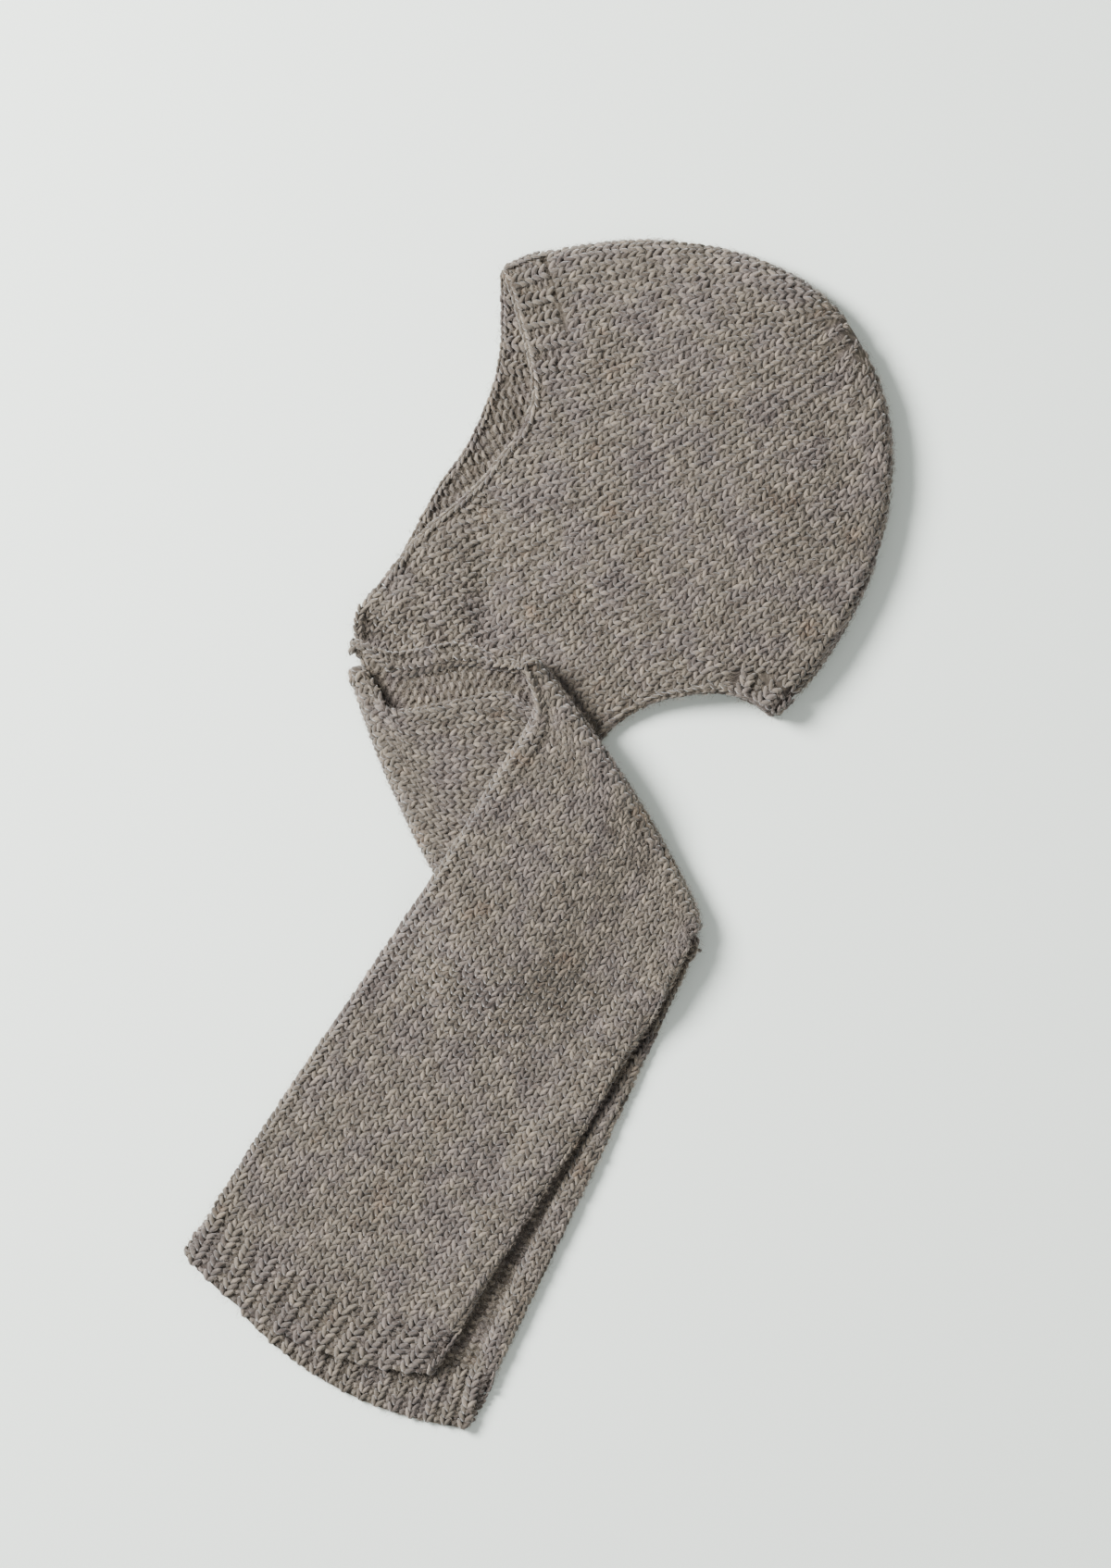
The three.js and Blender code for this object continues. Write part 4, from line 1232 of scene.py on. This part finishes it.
class Graph:
    """A material's nodes."""

    def __init__(self, name):
        self.material = bpy.data.materials.new(name)
        self.material.use_nodes = True
        self.tree = self.material.node_tree
        self.tree.nodes.clear()

    def node(self, kind, settings, inputs, output=0):
        """A node of one kind. Its settings are made first, then its inputs' values or links."""
        made = self.tree.nodes.new(kind)
        for key, value in settings.items():
            if key == "stops":
                self.set_stops(made.color_ramp, value)
            else:
                setattr(made, key, value)
        for key, value in inputs.items():
            if isinstance(value, Socket):
                self.tree.links.new(value.output, made.inputs[key])
            else:
                made.inputs[key].default_value = value
        return Socket(self, made.outputs[output])

    def set_stops(self, ramp, stops):
        while len(ramp.elements) < len(stops):
            ramp.elements.new(0.5)
        for element, (position, colour) in zip(ramp.elements, stops):
            element.position = position
            element.color = (*colour, 1)

    def ramp(self, factor, stops):
        return self.node("ShaderNodeValToRGB", {"stops": stops}, {"Fac": factor})

    def blend(self, kind, factor, first, second):
        """Two colours mixed. A colour mix's inputs 6 and 7 are its colours, and its output 2."""
        settings = {"data_type": "RGBA", "blend_type": kind}
        return self.node("ShaderNodeMix", settings, {0: factor, 6: first, 7: second}, output=2)

    def noise(self, coordinates, scale, detail=2.0, roughness=0.5):
        inputs = {"Vector": coordinates, "Scale": scale, "Detail": detail, "Roughness": roughness}
        return self.node("ShaderNodeTexNoise", {}, inputs)

    def surface(self, inputs):
        shader = self.node("ShaderNodeBsdfPrincipled", {}, inputs)
        output = self.tree.nodes.new("ShaderNodeOutputMaterial")
        self.tree.links.new(shader.output, output.inputs["Surface"])
        return self.material


def linear(red, green, blue):
    """A colour as it shows on a screen, from 0 to 255, in the linear values that shaders use."""
    shares = (red / 255, green / 255, blue / 255)
    return tuple(c / 12.92 if c <= 0.04045 else ((c + 0.055) / 1.055) ** 2.4 for c in shares)


def melange(graph, coordinates, lightness):
    """Wool dyed before it was spun: soft patches of cool, warm and mossy grey."""
    tint = bpy.context.scene.snood_wool.tint
    stops = []
    for position, colour in MELANGE:
        stops.append((position, tuple(c * lightness * t for c, t in zip(linear(*colour), tint))))
    base = graph.ramp(graph.noise(coordinates, 46.0, 3.0, 0.6), stops)
    light = graph.ramp(graph.noise(coordinates, 210.0, 2.0, 0.55), STREAKS)
    return graph.blend("MULTIPLY", 1.0, base, light)


def yarn_material(name, lightness):
    """Spun wool, a shade of its own for each leg of a loop."""
    graph = Graph(name)
    coordinates = graph.node("ShaderNodeTexCoord", {}, {}, output="Object")
    shade = graph.node("ShaderNodeAttribute", {"attribute_name": "shade"}, {}, output="Fac")
    colour = melange(graph, coordinates, lightness)
    colour = graph.blend("MULTIPLY", 1.0, colour, graph.ramp(shade, LOOP_SHADES))
    fibres = graph.noise(coordinates, 1500.0, 3.0, 0.7)
    colour = graph.blend("MULTIPLY", 1.0, colour, graph.ramp(fibres, FLECKS))
    bump = graph.node("ShaderNodeBump", {}, {"Strength": 0.55, "Distance": 0.0004, "Height": fibres})
    return graph.surface({
        "Base Color": colour,
        "Roughness": 0.95,
        "Specular IOR Level": 0.15,
        "Sheen Weight": 0.5,
        "Sheen Roughness": 0.45,
        "Normal": bump,
    })


def ground_material(name, lightness):
    """The knit between and behind its loops, ridged course by course as the purl side is. Its tone is kept
    darker than the loops' to paint the shade that falls in the gaps between them.
    """
    graph = Graph(name)
    coordinates = graph.node("ShaderNodeTexCoord", {}, {}, output="Object")
    stitches = graph.node("ShaderNodeUVMap", {"uv_map": "stitches"}, {})
    colour = melange(graph, coordinates, lightness)
    courses = graph.node(
        "ShaderNodeTexWave",
        {"wave_type": "BANDS", "bands_direction": "Y", "wave_profile": "SIN"},
        {"Vector": stitches, "Scale": 0.3142, "Distortion": 0.6, "Detail": 1.0, "Detail Scale": 2.0},
    )
    fibres = graph.noise(coordinates, 1300.0, 3.0, 0.7)
    height = courses * 0.6 + fibres * 0.5
    bump = graph.node("ShaderNodeBump", {}, {"Strength": 0.6, "Distance": 0.0008, "Height": height})
    return graph.surface({
        "Base Color": colour,
        "Roughness": 0.97,
        "Specular IOR Level": 0.1,
        "Normal": bump,
    })


def fuzz_material():
    """Single hairs, in the wool's own colours."""
    graph = Graph("loose_fibres")
    coordinates = graph.node("ShaderNodeTexCoord", {}, {}, output="Object")
    colour = melange(graph, coordinates, 1.0)
    return graph.surface({"Base Color": colour, "Roughness": 0.9, "Specular IOR Level": 0.2})


def floor_material(colour):
    """Board with a fine grain."""
    graph = Graph("pale_board")
    coordinates = graph.node("ShaderNodeTexCoord", {}, {}, output="Object")
    grain = graph.noise(coordinates, 900.0, 3.0, 0.6)
    soft = graph.noise(coordinates, 14.0, 2.0, 0.5)
    dark = tuple(c * 0.965 for c in colour)
    shade = graph.blend("MIX", grain * 0.6 + soft * 0.4, (*dark, 1), (*colour, 1))
    bump = graph.node("ShaderNodeBump", {}, {"Strength": 0.12, "Distance": 0.0004, "Height": grain})
    return graph.surface({
        "Base Color": shade,
        "Roughness": 0.85,
        "Specular IOR Level": 0.2,
        "Normal": bump,
    })


# The pieces

GATHERED = []  # where loose fibres may grow: loops' places, and directions out and up the wales


@functools.cache
def material(name):
    """One of the wool's materials, made when it is first asked for."""
    wool = bpy.context.scene.snood_wool
    makers = {
        "stockinette": lambda: yarn_material("stockinette_yarn", wool.knit_tone),
        "ribbing": lambda: yarn_material("ribbing_yarn", wool.rib_tone),
        "ground": lambda: ground_material("knit_ground", wool.shaded_ground_tone),
        "fuzz": fuzz_material,
    }
    return makers[name]()


def relaxed(grid, rounds):
    """A flat grid with its edges kept and its inside evened out, so that no cell folds over."""
    grid = grid.copy()
    for _ in range(rounds):
        along = (grid[1:-1, 2:] - grid[1:-1, :-2]) / 2
        down = (grid[2:, 1:-1] - grid[:-2, 1:-1]) / 2
        wide = (down**2).sum(2, keepdims=True) + 1e-9
        tall = (along**2).sum(2, keepdims=True) + 1e-9
        slant = (along * down).sum(2, keepdims=True)
        corners = grid[2:, 2:] - grid[:-2, 2:] - grid[2:, :-2] + grid[:-2, :-2]
        sums = wide * (grid[1:-1, 2:] + grid[1:-1, :-2]) + tall * (grid[2:, 1:-1] + grid[:-2, 1:-1])
        grid[1:-1, 1:-1] = (sums - slant * corners / 2) / (2 * (wide + tall))
    return grid


def crown_ground_grid(side):
    """Flat places of one side of the crown, as a fan from the folded edge out to the brim."""
    face, neck, nape = (Path(line) for line in crown_brim(side))
    shares = FAN_SHARES
    starts = (0.0, shares[0], shares[0] + shares[1])
    middle = OUTLINE.length * FAN_MIDDLE
    first, last = face.points[0], nape.points[-1]
    start_gap = np.linalg.norm(first - OUTLINE.at(0.0))
    end_gap = np.linalg.norm(last - OUTLINE.at(OUTLINE.length))
    ends = np.cumsum((0, *shares))
    parts = []
    for number, share in enumerate(shares):
        count = round(CROWN_COLUMNS * share)
        parts.append(np.linspace(ends[number], ends[number + 1], count, endpoint=number == 2))
    turn = np.concatenate(parts)
    columns = len(turn)
    grid = np.empty((CROWN_ROWS, columns, 2))
    for row, share in enumerate(np.linspace(0, 1, CROWN_ROWS) ** FAN_TIGHTENS):
        top = OUTLINE.at(mix(middle, start_gap, share))
        back = OUTLINE.at(mix(middle, OUTLINE.length - end_gap, share))
        for part, path, start in zip(shares, (face, neck, nape), starts):
            use = (turn >= start - 1e-9) & (turn <= start + part + 1e-9)
            along = (turn[use] - start) / part
            pull = path.at(along * path.length) - mix(first, last, turn[use][:, None])
            grid[row, use] = mix(top, back, turn[use][:, None]) + pull * share
    cramped = slice(*(round(columns * share) for share in CRAMPED))
    grid[:, cramped] = relaxed(grid[:, cramped], EVENING_ROUNDS)
    return grid


def make_crown_ground():
    """The crown's wall: the outer face over both sides, and the inner face back again."""
    faces = {}
    for side in (1, -1):
        grid = crown_ground_grid(side)
        centre, out = hood_wall(grid.reshape(-1, 2), side)
        for offset in (HALF - GROUND, GROUND - HALF):
            faces[side, offset > 0] = (centre + out * offset).reshape(*grid.shape[:2], 3)
    outer = np.hstack((faces[1, True], faces[-1, True][:, ::-1][:, 1:]))
    inner = np.hstack((faces[1, False], faces[-1, False][:, ::-1][:, 1:]))
    lip = (outer[-1:] + inner[-1:]) / 2
    grid = np.vstack((outer, lip, inner[::-1]))
    return cloth("crown_knit", grid, material("ground"), CROWN_GAUGE)


def hood_spots(columns, rows):
    """Stitches' places on the hood's bake map, and the size of one there."""
    size = np.array((1 / len(WALE_ENDS), 1 / HOOD_COURSES))
    return np.column_stack((columns / len(WALE_ENDS), rows / HOOD_COURSES)), size


def crown_stitches(side, name, seed):
    """The knit loops of one side of the hood."""
    here, above, below, widths, rows, columns = hood_lattice()
    keep = inside_polygon(here, crown_region(side, 3.0)) & (widths > MERGE_LEAST)
    place, on_knit = rolled_up(here[keep])
    upper, _ = rolled_up(above[keep])
    lower, _ = rolled_up(below[keep])
    centre, out = hood_wall(place, side)
    up_wale = hood_wall(upper, side)[0] - hood_wall(lower, side)[0]
    height = np.clip(np.linalg.norm(above[keep] - below[keep], axis=1), 0.7 * COURSE, 1.35 * COURSE)
    distance = np.linalg.norm(here[keep] - POLE, axis=1)
    width = WALE * widths[keep] * np.clip(distance / 30, 0.6, 1)
    loops = (centre + out * HALF, up_wale, out, width, height)
    loops = (each[on_knit] for each in loops)
    spots = hood_spots(columns[keep][on_knit], rows[keep][on_knit])
    stitches = Stitches(seed)
    stitches.add(*loops, SINK["hood"], spots, culled=True)
    return stitches.piece(name, material("stockinette"), "greige_knit")


def edge_chain(stitches, side, part):
    """Loops that run along a free edge of the hood."""
    rib = RIBS[side, part]
    stops = np.arange(CHAIN_START, rib.edge.length - 1, CHAIN)
    for turn, deep in CHAINS[side]:
        at = rib.place(stops, deep)
        centre, out = hood_wall(at, side)
        ahead = hood_wall(rib.place(stops + 1, deep), side)[0] - centre
        inward = np.column_stack((rib.inward(stops), np.zeros(len(stops))))
        tilt = math.radians(turn)
        lean = out * math.cos(tilt) - inward * math.sin(tilt)
        face = centre + lean * HALF
        spots = np.column_stack((stops / rib.edge.length, np.full(len(stops), 0.5 + turn / 400)))
        size = np.array((0.01, 0.01))
        stitches.add(face, ahead, lean, CHAIN_WIDTH, CHAIN, SINK["hood"], (spots, size))


def purl_inside(stitches, side, reach):
    """Purl loops on the inside of the hood, near the face opening."""
    here, above, below, widths, rows, columns = hood_lattice()
    keep = inside_polygon(here, crown_region(side, 1.5)) & (widths > MERGE_LEAST)
    keep &= to_outline(here)[0] > RIM
    edge = BRIMS[side]["face"].points[::2]
    near = np.linalg.norm(here[:, None] - edge[None], axis=2).min(1)
    keep &= near < reach
    centre, out = hood_wall(here[keep], side)
    up_wale = hood_wall(above[keep], side)[0] - hood_wall(below[keep], side)[0]
    spots = hood_spots(columns[keep], rows[keep])
    width = WALE * widths[keep] * 1.05
    face = centre - out * HALF
    stitches.add(face, up_wale, -out, width, COURSE * 1.1, SINK["inside"], spots, PURL_LOOP)


def rib_stitches(stitches, side, part, face):
    """Ribs that run in from an edge: loops stand up on every other wale, and lie low between.
    face is 1 for the outer face of the knit and -1 for the inner."""
    rib = RIBS[side, part]
    stops = in_from_rim(np.arange(WALE / 2, rib.reach + 2, WALE))
    for number, stop in enumerate(stops):
        deepest = float(rib.depth(np.array([stop]))[0])
        deep = np.arange(3.6, deepest + 0.5, COURSE)
        if not len(deep) or (face < 0 and stop < RIM):
            continue
        raised = number % 2 == (face < 0)
        at = rib.place(np.full(len(deep), stop), deep)
        ahead = rib.place(np.full(len(deep), stop), deep + 1)
        centre, out = hood_wall(at, side)
        up_wale = hood_wall(ahead, side)[0] - centre
        stand, wide = RIB_WALES["knit" if raised else "purl"]
        place = centre + out * face * (HALF + stand)
        spots = np.column_stack((np.full(len(deep), (number + 0.5) / len(stops)), deep / rib.width))
        size = np.array((1 / len(stops), COURSE / rib.width))
        template = KNIT_LOOP if raised else PURL_LOOP
        stitches.add(place, up_wale, out * face, WALE * wide, COURSE, SINK["rib"], (spots, size), template)


def rib_ground(name, part):
    """A rib's wall, from the lower side round the rim to the upper side."""
    bands = {}
    for side in (1, -1):
        rib = RIBS[side, part]
        stops = in_from_rim(np.linspace(0, rib.reach + RIM_EXTRA, RIB_COLUMNS))
        depth = rib.depth(stops)
        for offset in (HALF - GROUND, GROUND - HALF):
            rows = []
            for share in np.linspace(0, 1, RIB_ROWS):
                centre, out = hood_wall(rib.place(stops, depth * share), side)
                rows.append(centre + out * offset)
            bands[side, offset > 0] = np.array(rows)
    outer = np.hstack((bands[-1, True][:, ::-1], bands[1, True][:, 1:]))
    inner = np.hstack((bands[-1, False][:, ::-1], bands[1, False][:, 1:]))
    grid = np.vstack((outer, inner[::-1], outer[:1]))
    for end in (0, -1):
        middle = grid[:, end : end + 1 or None].mean(axis=0, keepdims=True)
        pinched = np.repeat(middle, len(grid), axis=0)
        grid = np.hstack((pinched, grid)) if end == 0 else np.hstack((grid, pinched))
    return cloth(name, grid, material("ground"), RIB_GAUGE)


def tail_faces(side_name):
    """The knit face and the purl face of a tail and its hem, as fine grids and as stitch grids."""
    runs, layers = TAILS[side_name]
    knit_rows = tail_rows(runs, layers, lambda line: section(line, TAIL_WALES * FINE + 1))
    purl_rows = tail_rows(runs, layers, lambda line: purl_section(line, TAIL_WALES * FINE + 1))
    knit_rows = rounded_corners(knit_rows, side_name, runs)
    purl_rows = rounded_corners(purl_rows, side_name, runs)
    if side_name == "right":
        knit_rows, purl_rows = knit_rows[:, ::-1], purl_rows[:, ::-1]
    return knit_rows, purl_rows


def grid_frames(grid, purl=False):
    """Directions up the wales and out of the face, at every point of a grid of one face."""
    down = np.gradient(grid, axis=0)
    across = np.gradient(grid, axis=1)
    out = unit(np.cross(across, -down))
    return -down, (-out if purl else out), np.linalg.norm(across, axis=2), np.linalg.norm(down, axis=2)


def tail_ground(name, knit, purl, start, stop):
    """A tail's wall as one closed tube of knit, flat as it lies."""
    _, knit_out, _, _ = grid_frames(knit)
    _, purl_out, _, _ = grid_frames(purl, purl=True)
    knit = knit - knit_out * GROUND
    purl = purl - purl_out * GROUND
    tube = np.hstack((knit, purl[:, ::-1], knit[:, :1]))[start:stop]
    half = knit.shape[1]
    ends = []
    for row in (tube[0], tube[-1]):
        seam = (row[:half] + row[half:-1][::-1]) / 2
        ends.append(np.vstack((seam, seam[::-1], seam[:1])))
    tube = np.concatenate((ends[0][None], tube, ends[1][None]))
    return cloth(name, tube, material("ground"), (TUBE_WALES, (stop - start) / FINE))


def face_loops(stitches, rows, courses, columns, kind, purl=False):
    """Loops on one face of a tail: knit, purl or rib, over a range of courses and of wales."""
    even = along_wales(rows, TAIL_COURSES * 2 + 1)
    up_wale, out, across, down = grid_frames(even, purl)
    picked = np.arange(*courses) * 2 + 1
    for number in range(*columns):
        column = number * 2 + 1
        raised = kind == "knit" or (kind == "rib" and number % 2 == purl)
        template = KNIT_LOOP if raised else PURL_LOOP
        stand, wide = 0, 1
        if kind == "rib":
            stand, wide = HEM_WALES["knit" if raised else "purl"]
        frames = (up_wale[picked, column], out[picked, column])
        face = even[picked, column] + frames[1] * stand
        share = (np.arange(len(picked)) + 0.5) / len(picked)
        spots = np.column_stack((np.full(len(picked), (number + 0.5) / TAIL_WALES), share))
        size = np.array((1 / TAIL_WALES, 1 / len(picked)))
        width = 2 * across[picked, column] * wide
        height = 2 * down[picked, column]
        near = on_wall(face)
        face, width, height, spots = face[near], width[near], height[near], spots[near]
        frames = [each[near] for each in frames]
        stitches.add(face, *frames, width, height, SINK["tail"], (spots, size), template, culled=True)


def loose_fibres(count, length, width, seed):
    """Hairs that stand off the brushed knit, as thin tapering ribbons."""
    random = np.random.default_rng(seed)
    face, out, up_wale = (np.vstack(parts) for parts in zip(*GATHERED))
    shown = out[:, 2] > -0.35
    face, out, up_wale = face[shown], unit(out[shown]), unit(up_wale[shown])
    pick = random.integers(0, len(face), count)
    across = np.cross(up_wale[pick], out[pick])
    angle = random.uniform(0, 2 * math.pi, count)[:, None]
    flat = across * np.cos(angle) + up_wale[pick] * np.sin(angle)
    run = unit(flat + out[pick] * random.uniform(0.02, 0.55, count)[:, None])
    bend = np.cross(run, out[pick]) * random.normal(0, 0.45, count)[:, None]
    long = (length * random.uniform(0.4, 1.2, count))[:, None]
    stray = random.uniform(-0.5, 0.5, (2, count, 1)) * WALE
    root = face[pick] + across * stray[0] + up_wale[pick] * stray[1]
    middle = root + run * long * 0.5
    tip = root + run * long + bend * long * 0.7 - out[pick] * long * 0.1
    side = unit(np.cross(run, UP + 0.01)) * width / 2
    points = np.stack((root, middle + side, middle - side, tip), axis=1)
    points[..., 2] = np.maximum(points[..., 2], 0.1)
    corners = ((np.arange(count) * 4)[:, None] + (0, 1, 2, 2, 1, 3)).ravel()
    sizes = np.full(count * 2, 3)
    points = points.reshape(-1, 3)
    mesh = mesh_of("wool_fuzz", points, corners, sizes)
    low, high = face.min(0)[:2], face.max(0)[:2]
    bake_map(mesh, ((points[:, :2] - low) / (high - low))[corners])
    return new_object("wool_fuzz", mesh, material("fuzz"))


# Settings and operators

class SnoodWool(bpy.types.PropertyGroup):
    tint: FloatVectorProperty(
        name="Tint", description="Multiplies the wool's greys", default=(1, 1, 1), size=3, subtype="COLOR"
    )
    knit_tone: FloatProperty(
        name="Knit tone", description="Lightness of the plain knit", default=0.48, subtype="FACTOR"
    )
    rib_tone: FloatProperty(
        name="Rib tone", description="Lightness of the ribs and hems", default=0.50, subtype="FACTOR"
    )
    # Darker than the knit tone: this paints the shade that falls in the gaps between the loops.
    shaded_ground_tone: FloatProperty(
        name="Ground tone", description="Lightness between the loops", default=0.32, subtype="FACTOR"
    )
    fibre_count: IntProperty(
        name="Loose fibres", description="Hairs on the brushed knit", default=70000
    )
    fibre_length: FloatProperty(
        name="Fibre length", description="Typical length of a loose hair", default=0.005, unit="LENGTH"
    )
    fibre_width: FloatProperty(
        name="Fibre width", description="Width of a loose hair", default=0.00009, unit="LENGTH"
    )


class SnoodStage(bpy.types.PropertyGroup):
    board_colour: FloatVectorProperty(
        name="Board", description="Colour of the pale board",
        default=linear(243, 250, 242), size=3, subtype="COLOR"
    )
    window_power: FloatProperty(
        name="Window light", description="Power of the low light at the left", default=184.0, unit="POWER"
    )
    fill_power: FloatProperty(
        name="Fill light", description="Power of the wide light at the right", default=8.0, unit="POWER"
    )
    camera_height: FloatProperty(
        name="Camera height", description="Height of the camera over the board",
        default=2.86, unit="LENGTH"
    )
    lens: FloatProperty(name="Lens", description="Focal length", default=135.0, unit="CAMERA")
    view_x: FloatProperty(
        name="View across", description="Middle of the view", default=0.0083, unit="LENGTH"
    )
    view_y: FloatProperty(
        name="View along", description="Middle of the view", default=0.0241, unit="LENGTH"
    )


class SNOOD_OT_stage(bpy.types.Operator):
    """Lay down the pale board and set the lights and the camera"""

    bl_idname = "snood.stage"
    bl_label = "Stage"

    def execute(self, context):
        stage = context.scene.snood_stage
        mesh = bpy.data.meshes.new("pale_board")
        made = bmesh.new()
        bmesh.ops.create_grid(made, x_segments=1, y_segments=1, size=6)
        made.to_mesh(mesh)
        made.free()
        mesh.materials.append(floor_material(tuple(stage.board_colour)))
        board = bpy.data.objects.new("pale_board", mesh)
        context.scene.collection.objects.link(board)
        lights = (
            ("window_light", (-1.6, 0.85, 1.42), 1.0, stage.window_power),
            ("fill_light", (1.3, -1.0, 2.4), 2.2, stage.fill_power),
        )
        for name, place, size, power in lights:
            lamp = bpy.data.lights.new(name, "AREA")
            lamp.shape = "DISK"
            lamp.size = size
            lamp.energy = power
            light = bpy.data.objects.new(name, lamp)
            light.location = place
            light.rotation_euler = (-light.location).to_track_quat("-Z", "Y").to_euler()
            context.scene.collection.objects.link(light)
        world = bpy.data.worlds.new("soft_room")
        world.use_nodes = True
        backdrop = world.node_tree.nodes["Background"]
        backdrop.inputs["Color"].default_value = (0.95, 0.98, 0.98, 1)
        backdrop.inputs["Strength"].default_value = 0.53
        context.scene.world = world
        lens = bpy.data.cameras.new("camera")
        lens.lens = stage.lens
        camera = bpy.data.objects.new("camera", lens)
        camera.location = (stage.view_x, stage.view_y, stage.camera_height)
        context.scene.collection.objects.link(camera)
        context.scene.camera = camera
        return {"FINISHED"}


class SNOOD_OT_walls(bpy.types.Operator):
    """Lay out the walls of the hood, its ribs, the tails and their hems, which the stitches cover"""

    bl_idname = "snood.walls"
    bl_label = "Walls"

    def execute(self, context):
        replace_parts(make_crown_ground(), "crown")
        for name, part in (("forehead_rib", "face"), ("nape_rib", "nape")):
            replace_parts(rib_ground(f"{name}_knit", part), name)
        for side_name in TAILS:
            faces = tail_faces(side_name)
            knit, purl = (along_wales(rows, TAIL_COURSES * FINE + 1) for rows in faces)
            seam = SEAM_COURSE * FINE + 1
            name = f"{side_name}_tail"
            tail = tail_ground(f"{name}_knit", knit, purl, 0, seam)
            hem = tail_ground(f"{name}_hem_knit", knit, purl, seam - 1, len(knit))
            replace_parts(tail, name)
            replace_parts(hem, f"{name}_hem")
        return {"FINISHED"}


class SNOOD_OT_hood(bpy.types.Operator):
    """Knit the hood's stitches on both sides, the loops along its edges, and its two ribbed bands"""

    bl_idname = "snood.hood"
    bl_label = "Hood"

    def execute(self, context):
        left = crown_stitches(1, "crown_left_stitches", 11)
        right = crown_stitches(-1, "crown_right_stitches", 12)
        edges = Stitches(13)
        for side in CHAINS:
            edge_chain(edges, side, "face")
            edge_chain(edges, side, "nape")
        edging = edges.piece("crown_edge_loops", material("stockinette"), "greige_knit")
        inner = Stitches(14)
        purl_inside(inner, -1, 75)
        purl_inside(inner, 1, 30)
        lining = inner.piece("crown_purl_stitches", material("stockinette"), "greige_knit")
        for name, part, seed in (("forehead_rib", "face", 21), ("nape_rib", "nape", 22)):
            stitches = Stitches(seed)
            for side, face in ((1, 1), (-1, 1), (-1, -1)):
                rib_stitches(stitches, side, part, face)
            stitches.piece(f"{name}_stitches", material("ribbing"), "greige_rib")
        return {"FINISHED"}


class SNOOD_OT_tails(bpy.types.Operator):
    """Knit both scarf tails and their ribbed hems"""

    bl_idname = "snood.tails"
    bl_label = "Tails"

    def execute(self, context):
        for number, side_name in enumerate(TAILS):
            knit, purl = tail_faces(side_name)
            whole, hem_only = (0, TAIL_WALES), (SEAM_COURSE, TAIL_COURSES)
            loops = Stitches(31 + number)
            face_loops(loops, knit, (0, SEAM_COURSE), whole, "knit")
            face = loops.piece(f"{side_name}_tail_stitches", material("stockinette"), "greige_knit")
            back_loops = Stitches(41 + number)
            face_loops(back_loops, purl, *PURL_SHOWS[side_name], "purl", purl=True)
            back = back_loops.piece(f"{side_name}_tail_purl", material("stockinette"), "greige_knit")
            ribs = Stitches(51 + number)
            face_loops(ribs, knit, hem_only, whole, "rib")
            face_loops(ribs, purl, hem_only, whole, "rib", purl=True)
            ribbing = ribs.piece(f"{side_name}_tail_hem_stitches", material("ribbing"), "greige_rib")
        return {"FINISHED"}


class SNOOD_OT_fuzz(bpy.types.Operator):
    """Raise loose fibres all over the brushed knit"""

    bl_idname = "snood.fuzz"
    bl_label = "Fuzz"

    def execute(self, context):
        wool = context.scene.snood_wool
        loose_fibres(wool.fibre_count, wool.fibre_length * 1000, wool.fibre_width * 1000, 61)
        return {"FINISHED"}


class SNOOD_PT_panel(bpy.types.Panel):
    """Lists the steps that make the snood hood"""

    bl_label = "Snood hood"
    bl_space_type = "VIEW_3D"
    bl_region_type = "UI"
    bl_category = "Snood"

    def draw(self, context):
        for step in STEPS:
            self.layout.operator(step.bl_idname)
        for settings in (context.scene.snood_wool, context.scene.snood_stage):
            for key in settings.bl_rna.properties.keys():
                if key not in {"rna_type", "name"}:
                    self.layout.prop(settings, key)


STEPS = (SNOOD_OT_stage, SNOOD_OT_walls, SNOOD_OT_hood, SNOOD_OT_tails, SNOOD_OT_fuzz)
CLASSES = (SnoodWool, SnoodStage, *STEPS, SNOOD_PT_panel)


def register():
    for each in CLASSES:
        bpy.utils.register_class(each)
    bpy.types.Scene.snood_wool = PointerProperty(type=SnoodWool)
    bpy.types.Scene.snood_stage = PointerProperty(type=SnoodStage)


def unregister():
    del bpy.types.Scene.snood_stage
    del bpy.types.Scene.snood_wool
    for each in reversed(CLASSES):
        bpy.utils.unregister_class(each)


def main():
    register()
    bpy.ops.snood.stage()
    bpy.ops.snood.walls()
    bpy.ops.snood.hood()
    bpy.ops.snood.tails()
    bpy.ops.snood.fuzz()


if __name__ == "__main__":
    main()
